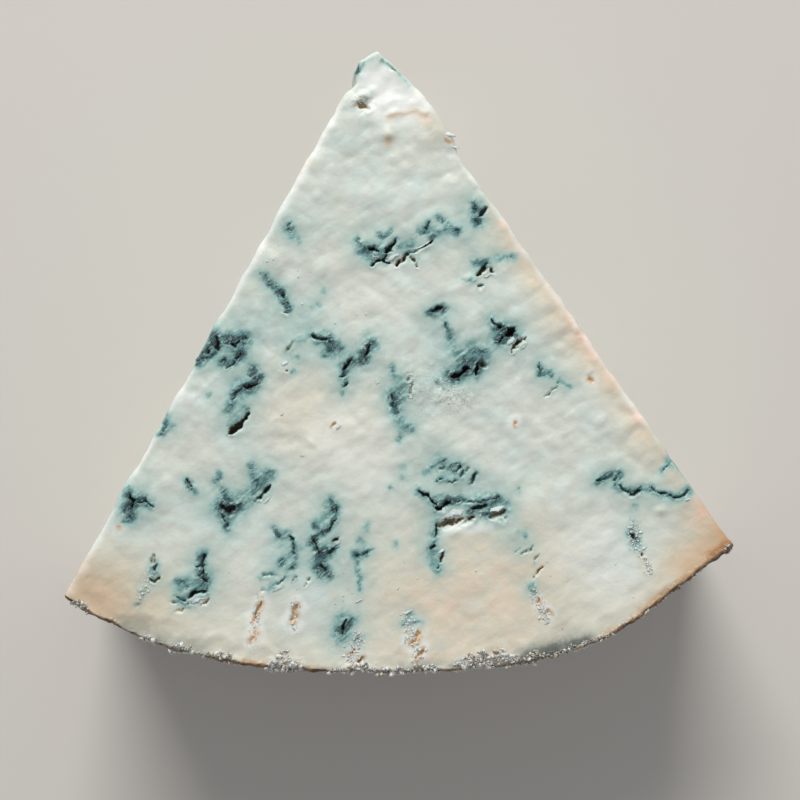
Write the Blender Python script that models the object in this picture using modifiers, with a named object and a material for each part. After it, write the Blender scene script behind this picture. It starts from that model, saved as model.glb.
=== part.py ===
"""Wedge of smoked Stilton, cut from a disc of the wheel and lying on one of its cut faces.

The narrow end is the middle of the wheel, where the crumbly paste has broken to a blunt nose. The curved
back is the wheel's rind, pierced by the maturing needles. Cracks and mould pockets open on the cut faces.

Axes: +X across the wedge, +Y from the rind towards the nose, +Z up.
Origin: middle of the box round the underside, on the surface that the wedge lies on.
"""

import math
import random

import bmesh
import bpy
import numpy as np
from mathutils import Vector, noise

MM = 0.001

# Driving dimensions, in millimetres and degrees. A bearing is measured at the wheel's axis from -Y.
WHEEL_RADIUS = 100.0
THICKNESS = 45.0
LEFT_BEARING = -29.2
RIGHT_BEARING = 35.1
RIND_SWELL = 0.75  # how far the rind swells in and out
RIND_SWELLS = 8.8  # full swells in a whole turn
RIND_CREST = -21.0  # bearing of one crest
CORNER_LOSS = 2.3  # how much nearer the axis the rind comes at the right corner
CORNER_START = 19.0  # bearing where it begins to come nearer
CORNER_END = 32.0

# The broken nose, from the left side round to the right side: (across, down from the wheel's axis)
NOSE = (
    (-4.7, 8.4), (-3.2, 7.2), (-3.4, 5.2), (-2.7, 3.6), (-1.2, 2.7), (0.3, 2.0), (2.3, 3.7),
    (4.6, 5.9), (6.8, 8.4), (8.8, 10.8), (10.4, 13.2), (12.0, 15.8), (13.8, 19.6),
)

# Cracks and pockets of the upper face. Each starts at (across, down) from the wheel's axis and runs along its
# heading, counter-clockwise from +X, turning by its bend on the way: (across, down, heading, length, bend,
# half width, depth).
GASHES = (
    (-1.5, 33.0, -10, 5.0, 60, 0.7, 2.4),
    (-1.0, 35.5, 28, 3.3, -35, 0.5, 1.6),
    (3.0, 35.5, 40, 3.0, -30, 0.8, 2.2),
    (5.5, 33.5, 24, 4.6, 20, 0.4, 1.2),
    (16.0, 37.0, 49, 2.3, 0, 0.7, 1.8),
    (16.0, 28.0, 45, 1.7, 0, 0.6, 1.2),
    (-28.0, 50.5, 30, 4.8, 45, 1.0, 2.0),
    (-23.0, 47.5, -20, 3.2, 55, 1.0, 1.8),
    (-23.0, 51.5, 48, 3.0, 0, 0.5, 1.4),
    (-21.0, 54.5, -15, 3.0, 80, 0.8, 1.6),
    (-23.0, 61.5, 40, 4.2, 10, 0.8, 3.0),
    (-10.0, 46.5, -20, 4.7, -15, 0.8, 1.4),
    (-2.0, 50.0, 58, 2.5, 0, 0.7, 1.8),
    (8.5, 43.0, 20, 3.0, -20, 0.6, 1.4),
    (11.5, 53.0, 0, 3.1, 45, 0.9, 2.2),
    (15.5, 52.5, 62, 3.0, 10, 0.8, 2.4),
    (19.5, 47.5, 45, 2.9, -40, 1.2, 3.2),
    (21.5, 49.5, 62, 3.1, -35, 0.6, 2.2),
    (6.5, 71.0, -30, 4.3, -25, 0.6, 1.6),
    (10.0, 73.5, 20, 3.1, 0, 0.8, 2.4),
    (10.0, 76.0, 8, 7.3, 35, 0.9, 3.4),
    (17.5, 74.5, 5, 3.0, 15, 0.8, 2.8),
    (9.5, 76.0, -98, 7.2, 20, 0.6, 1.6),
    (34.5, 69.5, 8, 7.2, -30, 0.6, 1.5),
    (41.5, 70.5, -5, 7.2, 0, 0.5, 1.3),
    (-38.5, 71.5, -92, 2.7, 0, 0.9, 2.0),
    (-24.0, 73.5, -50, 3.9, -50, 0.8, 2.0),
    (-23.0, 74.0, 33, 6.4, 12, 0.6, 1.6),
    (-27.0, 81.0, -97, 4.0, 20, 0.7, 1.6),
    (-29.5, 87.5, 50, 3.3, -55, 0.7, 2.4),
    (-6.5, 73.0, -70, 5.0, -80, 0.6, 1.4),
    (-10.0, 78.0, -80, 3.2, 10, 0.7, 1.6),
    (-9.0, 82.0, -40, 2.2, 0, 0.8, 1.8),
    (-13.5, 78.0, -75, 3.6, 0, 0.6, 1.2),
    (-2.5, 11.0, 27, 1.4, 0, 1.1, 2.6),
    (2.0, 12.5, 22, 6.2, -45, 0.6, 0.9),
)
GASH_STEPS = 4

# Torn flakes that stand up beside the gashes, given in the same way, with their height last
FLAKES = (
    (10.5, 78.0, 6, 8.0, 15, 1.2, 0.9),
    (10.5, 75.0, 5, 4.5, 0, 0.9, 0.7),
    (20.0, 49.0, 50, 3.0, -20, 0.8, 0.6),
    (17.5, 38.5, 45, 2.5, 0, 0.8, 0.6),
    (1.0, 34.3, 5, 3.0, 0, 0.6, 0.6),
    (-21.0, 62.5, 45, 4.0, 0, 0.8, 0.6),
    (-19.0, 73.5, 40, 4.5, 0, 0.8, 0.6),
    (-28.0, 87.8, 20, 3.0, 0, 0.7, 0.6),
    (-1.5, 89.0, 10, 5.0, 0, 1.0, 0.5),
    (44.0, 72.5, 5, 3.5, 0, 0.9, 0.5),
)
LIP_HEIGHT = 0.25  # the raised edge of a gash

# Needle channels that the upper cut laid open near the rind: (bearing, nearest radius, farthest radius)
CHANNELS = (
    (-22.8, 88.0, 93.5), (-11.5, 90.0, 95.5), (-8.0, 89.5, 93.0), (-2.4, 91.0, 98.0),
    (3.4, 91.5, 98.0), (16.4, 88.0, 94.5), (27.4, 86.5, 90.5),
)
CHANNEL_DEPTH = 1.6
CHANNEL_HALF_WIDTH = 0.8

# Gashes on the two upright cut faces and needle holes in the rind follow a seeded rule.
SIDE_SEED = 7
SIDE_GASHES = 11
NEEDLE_ROWS = (13.0, 31.0)  # heights on the rind, besides the channels in the upper face
NEEDLE_HOLE_RADIUS = 1.1
NEEDLE_HOLE_DEPTH = 2.2

# Surface relief
LUMP_HEIGHT = 0.35
LUMP_SIZE = 7.0
CRUST_HEIGHT = 0.7
CRUST_SIZE = 4.5
TEAR = 0.35  # how far a gash's edge wanders
GASH_REACH = 9.0  # how far below the upper face its gashes still show on the upright faces

# Mesh
SKIN_SIZE = 0.8  # even mesh that the relief is worked into
UNDERCUT = 3.0  # extra thickness that is trimmed off to leave a flat underside
TRIANGLES = 11000
ARC_STEP = 1.5  # degrees between the outline's points along the rind


def polar(radius, bearing):
    """Plan position at a radius and bearing from the wheel's axis."""
    angle = math.radians(bearing)
    return radius * math.sin(angle), -radius * math.cos(angle)


def rind_radius(bearing):
    """The rind is a slightly wavy arc that comes in towards the right corner."""
    swell = RIND_SWELL * math.cos(math.radians(RIND_SWELLS * (bearing - RIND_CREST)))
    return WHEEL_RADIUS + swell - CORNER_LOSS * smooth_step(CORNER_START, CORNER_END, bearing)


def plan_outline():
    """The wedge in plan: the nose, the right corner, the rind's arc and the left corner."""
    points = [(across, -down) for across, down in NOSE]
    steps = round((RIGHT_BEARING - LEFT_BEARING) / ARC_STEP)
    for i in range(steps + 1):
        bearing = RIGHT_BEARING + (LEFT_BEARING - RIGHT_BEARING) * i / steps
        points.append(polar(rind_radius(bearing), bearing))
    return points


def distance_to_path(points, path):
    """Distance of each 2D point to a path of straight pieces."""
    nearest = np.full(len(points), np.inf)
    for start, end in zip(path, path[1:]):
        start, along = np.array(start), np.subtract(end, start)
        share = np.clip((points - start) @ along / (along @ along), 0.0, 1.0)
        nearest = np.minimum(nearest, np.linalg.norm(points - start - share[:, None] * along, axis=1))
    return nearest


def smooth_step(low, high, value):
    share = np.clip((value - low) / (high - low), 0.0, 1.0)
    return share * share * (3.0 - 2.0 * share)


def noise_at(points, size, shift):
    """Smooth noise from -1 to 1 at 3D points, with lumps of about the given size."""
    return np.array([noise.noise(Vector(p) / size + Vector((shift, 0.0, 0.0))) for p in points])


def bent_path(across, down, heading, length, bend):
    """Points along a stroke of the upper face that turns evenly by its bend."""
    x, y = across, -down
    path = [(x, y)]
    for i in range(GASH_STEPS):
        angle = math.radians(heading + bend * (i + 0.5) / GASH_STEPS)
        x += length / GASH_STEPS * math.cos(angle)
        y += length / GASH_STEPS * math.sin(angle)
        path.append((x, y))
    return path


def groove(away, depth, half_width):
    """Depth of a gash at a distance from its middle, with its raised lip counted as negative depth."""
    inside = 1.0 - smooth_step(0.35 * half_width, 1.2 * half_width, away)
    lip = np.exp(-(((away - 1.6 * half_width) / (0.5 * half_width)) ** 2))
    return depth * inside - LIP_HEIGHT * lip


def side_paths(rng):
    """Paths of (radius, height) on an upright cut face: mostly level streaks, some steep cracks."""
    paths = []
    for i in range(SIDE_GASHES):
        radius = 18.0 + 70.0 * (i + rng.random()) / SIDE_GASHES
        height = rng.uniform(7.0, THICKNESS - 7.0)
        heading = rng.choice((0.0, 0.0, 70.0, 110.0)) + rng.uniform(-25.0, 25.0)
        path = [(radius, height)]
        for _ in range(rng.randint(2, 4)):
            length = rng.uniform(1.5, 3.0)
            heading += rng.uniform(-35.0, 35.0)
            radius += length * math.cos(math.radians(heading))
            height += length * math.sin(math.radians(heading))
            path.append((radius, height))
        paths.append(path)
    return paths


def deeper(depths, more):
    """Joins two sets of depths: the deeper gash wins, and lips add only where there is no gash."""
    return np.where(np.maximum(depths, more) > 0.0, np.maximum(depths, more), np.minimum(depths, more))


def upper_relief(points, rough):
    """Gashes, flakes and needle channels of the upper face, which run a little down the upright faces."""
    plan = points[:, :2]
    torn = TEAR * rough
    depths = np.zeros(len(points))
    for *stroke, half_width, height in FLAKES:
        away = distance_to_path(plan, bent_path(*stroke)) + torn
        depths -= height * (1.0 - smooth_step(0.3 * half_width, 1.3 * half_width, away))
    for *stroke, half_width, depth in GASHES:
        away = distance_to_path(plan, bent_path(*stroke)) + torn
        depths = deeper(depths, groove(away, depth, half_width))
    for bearing, near, far in CHANNELS:
        away = distance_to_path(plan, (polar(near, bearing), polar(far, bearing))) + torn
        depths = deeper(depths, groove(away, CHANNEL_DEPTH, CHANNEL_HALF_WIDTH))
    below = THICKNESS - points[:, 2]
    return -depths * (1.0 - smooth_step(1.0, GASH_REACH, below))


def side_relief(points, bearing, rng, rough):
    """Gashes of one upright cut face."""
    angle = math.radians(bearing)
    outward = np.array((math.cos(angle), math.sin(angle)))
    along = np.array((math.sin(angle), -math.cos(angle)))
    on_face = 1.0 - smooth_step(0.6, 1.6, np.abs(points[:, :2] @ outward))
    face = np.column_stack((points[:, :2] @ along, points[:, 2]))
    depths = np.zeros(len(points))
    for path in side_paths(rng):
        depth = rng.uniform(0.9, 1.8)
        half_width = rng.uniform(0.6, 1.1)
        away = distance_to_path(face, path) + TEAR * rough
        depths = deeper(depths, groove(away, depth, half_width))
    return -depths * on_face


def rind_relief(points, rough):
    """A crusty rind with needle holes."""
    radius = np.linalg.norm(points[:, :2], axis=1)
    bearing = np.degrees(np.arctan2(points[:, 0], -points[:, 1]))
    on_rind = smooth_step(WHEEL_RADIUS - 4.5, WHEEL_RADIUS - 3.0, radius)
    crust = CRUST_HEIGHT * (0.5 - 2.0 * np.abs(noise_at(points, CRUST_SIZE, 11.0)))
    holes = np.zeros(len(points))
    for height in NEEDLE_ROWS:
        for centre, _, _ in CHANNELS:
            across = np.radians(bearing - centre) * WHEEL_RADIUS
            away = np.hypot(across, points[:, 2] - height) + 0.2 * rough
            hole = NEEDLE_HOLE_DEPTH * (1.0 - smooth_step(0.4, NEEDLE_HOLE_RADIUS, away))
            holes = np.maximum(holes, hole)
    return (crust - holes) * on_rind


def block_mesh():
    """The plain wedge: its outline extruded, then given an even skin of small faces."""
    curve = bpy.data.curves.new("wedge_outline", "CURVE")
    curve.dimensions = "2D"
    curve.fill_mode = "BOTH"
    curve.extrude = (THICKNESS + UNDERCUT) / 2
    outline = plan_outline()
    spline = curve.splines.new("POLY")
    spline.points.add(len(outline) - 1)
    for point, (x, y) in zip(spline.points, outline):
        point.co = (x, y, 0.0, 1.0)
    spline.use_cyclic_u = True
    outline_object = bpy.data.objects.new("wedge_outline", curve)
    bpy.context.scene.collection.objects.link(outline_object)
    block = mesh_object("wedge_block", evaluated_mesh(outline_object))
    bpy.data.objects.remove(outline_object)

    bm = bmesh.new()
    bm.from_mesh(block.data)
    bmesh.ops.remove_doubles(bm, verts=bm.verts, dist=0.001)
    bmesh.ops.recalc_face_normals(bm, faces=bm.faces)
    bmesh.ops.translate(bm, verts=bm.verts, vec=(0.0, 0.0, (THICKNESS - UNDERCUT) / 2))
    bm.to_mesh(block.data)
    bm.free()
    skin = block.modifiers.new("Even skin", "REMESH")
    skin.mode = "VOXEL"
    skin.voxel_size = SKIN_SIZE
    mesh = evaluated_mesh(block)
    bpy.data.objects.remove(block)
    return mesh


def evaluated_mesh(source):
    """A new mesh of an object with its modifiers applied."""
    bpy.context.view_layer.update()
    depsgraph = bpy.context.evaluated_depsgraph_get()
    return bpy.data.meshes.new_from_object(source.evaluated_get(depsgraph), depsgraph=depsgraph)


def mesh_object(name, mesh):
    made = bpy.data.objects.new(name, mesh)
    bpy.context.scene.collection.objects.link(made)
    return made


def vertex_array(mesh, attribute):
    values = np.empty(len(mesh.vertices) * 3)
    mesh.vertices.foreach_get(attribute, values)
    return values.reshape(-1, 3)


def work_relief(mesh):
    """Moves the skin along its normals by the relief of the faces."""
    points = vertex_array(mesh, "co")
    normals = vertex_array(mesh, "normal")
    rough = noise_at(points, 1.6, 3.0)
    height = LUMP_HEIGHT * noise_at(points, LUMP_SIZE, 5.0)
    height += upper_relief(points, rough)
    for number, bearing in enumerate((LEFT_BEARING, RIGHT_BEARING)):
        height += side_relief(points, bearing, random.Random(SIDE_SEED + number), rough)
    height += rind_relief(points, rough)
    mesh.vertices.foreach_set("co", (points + normals * height[:, None]).ravel())
    mesh.update()


def trim_underside(mesh):
    """Cuts the wedge flat at the surface that it lies on."""
    bm = bmesh.new()
    bm.from_mesh(mesh)
    everything = bm.verts[:] + bm.edges[:] + bm.faces[:]
    cut = bmesh.ops.bisect_plane(
        bm, geom=everything, dist=0.0001, plane_co=(0, 0, 0), plane_no=(0, 0, -1), clear_outer=True
    )
    rim = [e for e in cut["geom_cut"] if isinstance(e, bmesh.types.BMEdge)]
    bmesh.ops.triangle_fill(bm, edges=rim, use_beauty=True)
    bmesh.ops.recalc_face_normals(bm, faces=bm.faces)
    bm.to_mesh(mesh)
    bm.free()


def thin_out(mesh):
    """Keeps faces where the relief needs them and merges them where it is flat."""
    mesh.calc_loop_triangles()
    wedge = mesh_object("wedge_skin", mesh)
    fewer = wedge.modifiers.new("Fewer faces", "DECIMATE")
    fewer.ratio = TRIANGLES / len(mesh.loop_triangles)
    fewer.use_collapse_triangulate = True
    thinned = evaluated_mesh(wedge)
    bpy.data.objects.remove(wedge)
    return thinned


def settle(mesh):
    """Puts the underside exactly level, the origin in its middle, and millimetres into metres."""
    points = vertex_array(mesh, "co")
    points[points[:, 2] < 0.05, 2] = 0.0
    middle = (points.min(0) + points.max(0)) / 2
    points -= (middle[0], middle[1], 0.0)
    mesh.vertices.foreach_set("co", (points * MM).ravel())
    mesh.update()


def cheese_material():
    """Ivory paste, dull and slightly oily."""
    material = bpy.data.materials.new("stilton_paste")
    material.use_nodes = True
    shader = material.node_tree.nodes["Principled BSDF"]
    shader.inputs["Base Color"].default_value = (0.66, 0.62, 0.52, 1.0)
    shader.inputs["Roughness"].default_value = 0.55
    shader.inputs["Metallic"].default_value = 0.0
    return material


def build():
    for old in list(bpy.data.objects):
        bpy.data.objects.remove(old)
    mesh = block_mesh()
    work_relief(mesh)
    trim_underside(mesh)
    mesh = thin_out(mesh)
    settle(mesh)
    mesh.materials.clear()
    mesh.materials.append(cheese_material())
    mesh.shade_smooth()
    mesh.set_sharp_from_angle(angle=math.radians(50.0))

    wedge = bpy.data.objects.new("stilton_wedge", mesh)
    collection = bpy.data.collections.new("smoked_stilton")
    bpy.context.scene.collection.children.link(collection)
    collection.objects.link(wedge)


build()
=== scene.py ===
"""Looks of the smoked Stilton wedge: mould-veined paste, torn cracks, a crusty rind and a few crumbs.

Shapes are worked out in millimetres in the wheel's own frame: the wheel's axis is the origin, +X runs
across the wedge, +Y from the rind towards the broken nose, +Z up from the underside. in_part() turns that
into the part's frame. A bearing is an angle at the axis, in degrees from -Y.
"""

import itertools
import math
import random

import bmesh
import bpy
import numpy as np
from mathutils import Euler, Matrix, Vector, bvhtree, geometry, noise


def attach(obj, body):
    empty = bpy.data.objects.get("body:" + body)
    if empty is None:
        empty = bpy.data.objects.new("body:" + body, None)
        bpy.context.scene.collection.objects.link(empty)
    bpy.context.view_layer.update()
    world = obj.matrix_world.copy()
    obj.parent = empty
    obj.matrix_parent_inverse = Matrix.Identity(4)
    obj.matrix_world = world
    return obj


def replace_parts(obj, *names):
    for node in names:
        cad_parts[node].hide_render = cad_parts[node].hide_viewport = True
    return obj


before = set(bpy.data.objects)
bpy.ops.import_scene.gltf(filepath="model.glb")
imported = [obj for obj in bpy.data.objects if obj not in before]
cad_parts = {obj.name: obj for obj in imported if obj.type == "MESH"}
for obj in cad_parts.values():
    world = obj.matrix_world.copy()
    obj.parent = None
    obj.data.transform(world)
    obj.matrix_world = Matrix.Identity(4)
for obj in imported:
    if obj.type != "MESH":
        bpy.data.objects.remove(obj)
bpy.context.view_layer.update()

MM = 0.001
AXIS_IN_PART = (-3.51, 50.87)  # the wheel's axis in the part's frame

# The wedge's driving sizes are those of its solid.
WHEEL_RADIUS = 100.0
THICKNESS = 45.0
LEFT_BEARING = -29.2
RIGHT_BEARING = 35.1
RIND_SWELL = 0.75
RIND_SWELLS = 8.8
RIND_CREST = -21.0
CORNER_LOSS = 2.3
CORNER_START = 19.0
CORNER_END = 32.0
NOSE = (
    (-4.7, 8.4), (-3.2, 7.2), (-3.4, 5.2), (-2.7, 3.6), (-1.2, 2.7), (0.3, 2.0), (2.3, 3.7),
    (4.6, 5.9), (6.8, 8.4), (8.8, 10.8), (10.4, 13.2), (12.0, 15.8), (13.8, 19.6),
)
SIDE_SEED = 7
SIDE_GASHES = 11
GASHES_FROM = 18.0  # radius at which the gashes of the upright cut faces begin
GASHES_OVER = 70.0
GASH_MARGIN = 7.0
NEEDLE_BEARINGS = (-22.8, -11.5, -8.0, -2.4, 3.4, 16.4, 27.4)
NEEDLE_ROWS = (13.0, 31.0)
NEEDLE_HOLE_RADIUS = 1.1
NEEDLE_HOLE_DEPTH = 2.2
LUMP_HEIGHT = 0.35
LUMP_SIZE = 7.0
CRUST_HEIGHT = 0.7
CRUST_SIZE = 4.5

# Mesh density
TOP_STEP = 0.44
FINE_STEP = TOP_STEP / 2
RIM_STEP = 0.5
ROW_STEP = 0.62
UNDER_STEP = 1.2
ARC_STEP = 1.5
TOP_EDGE = 0.7  # rounding of the upper edges
LOW_EDGE = 0.35
TOP_RINGS = (0.12, 0.34, 0.66)  # distances from the outline of the rings of points that round the edge
LOW_RINGS = (0.18, 0.35)

# What shows on the upper face. Each entry is a stroke: (half width, strength or depth, points), and each
# point is (across, down) from the wheel's axis. HAZE is soft blue-green bloom, MOULD the veins themselves,
# SLITS are open mouldy cracks, GAPS open clean cracks, GASHES needle cuts with rusty walls and BUMPS lumps.
# Slits and gaps are also painted with shade inside them, blue-black in mouldy ones and brown in clean ones.
HAZE = (
    (3, 0.5, ((-18, 44.6), (-12, 46))),
    (2.4, 0.5, ((20.5, 76.5), (22.5, 80))),
    (2.2, 0.3, ((-13.4, 29.7), (-8, 28.8))),
    (2.5, 0.4, ((-2.8, 32), (5.3, 32.8), (12.8, 29.4))),
    (1.9, 0.35, ((15.8, 25.6), (16.2, 35))),
    (1.9, 0.3, ((-17.7, 37), (-14.2, 40.9))),
    (2.5, 0.4, ((-27, 49.1), (-21.2, 48), (-22, 61.2))),
    (1.9, 0.3, ((-13.1, 48), (-4.8, 51.6), (-5.2, 55.3))),
    (2.4, 0.4, ((9.7, 44.4), (10, 49.1), (15, 49.7))),
    (2.2, 0.4, ((4.1, 53.4), (3.8, 59.4))),
    (1.9, 0.3, ((18.6, 44.8), (22.5, 48), (28.8, 53.6))),
    (2.5, 0.4, ((9.4, 65.5), (11.6, 68.3), (19.4, 72.7))),
    (2.2, 0.5, ((8.8, 74.1), (8.8, 80.8))),
    (1.7, 0.4, ((35, 69.1), (41.2, 70.9), (48.8, 71.2))),
    (2.2, 0.45, ((-36.6, 70.3), (-37.8, 73.4))),
    (2.2, 0.4, ((-29.1, 71.2), (-23.1, 73.8), (-17.8, 69.8))),
    (2.5, 0.4, ((-27.8, 83.1), (-28.6, 86.6))),
    (1.9, 0.35, ((-14.4, 80), (-16.2, 84.7))),
    (2, 0.4, ((-7.7, 74.5), (-8.9, 80.8), (-1.9, 85))),
    (1.1, 0.35, ((-2, 9.4),)),
)
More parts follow.
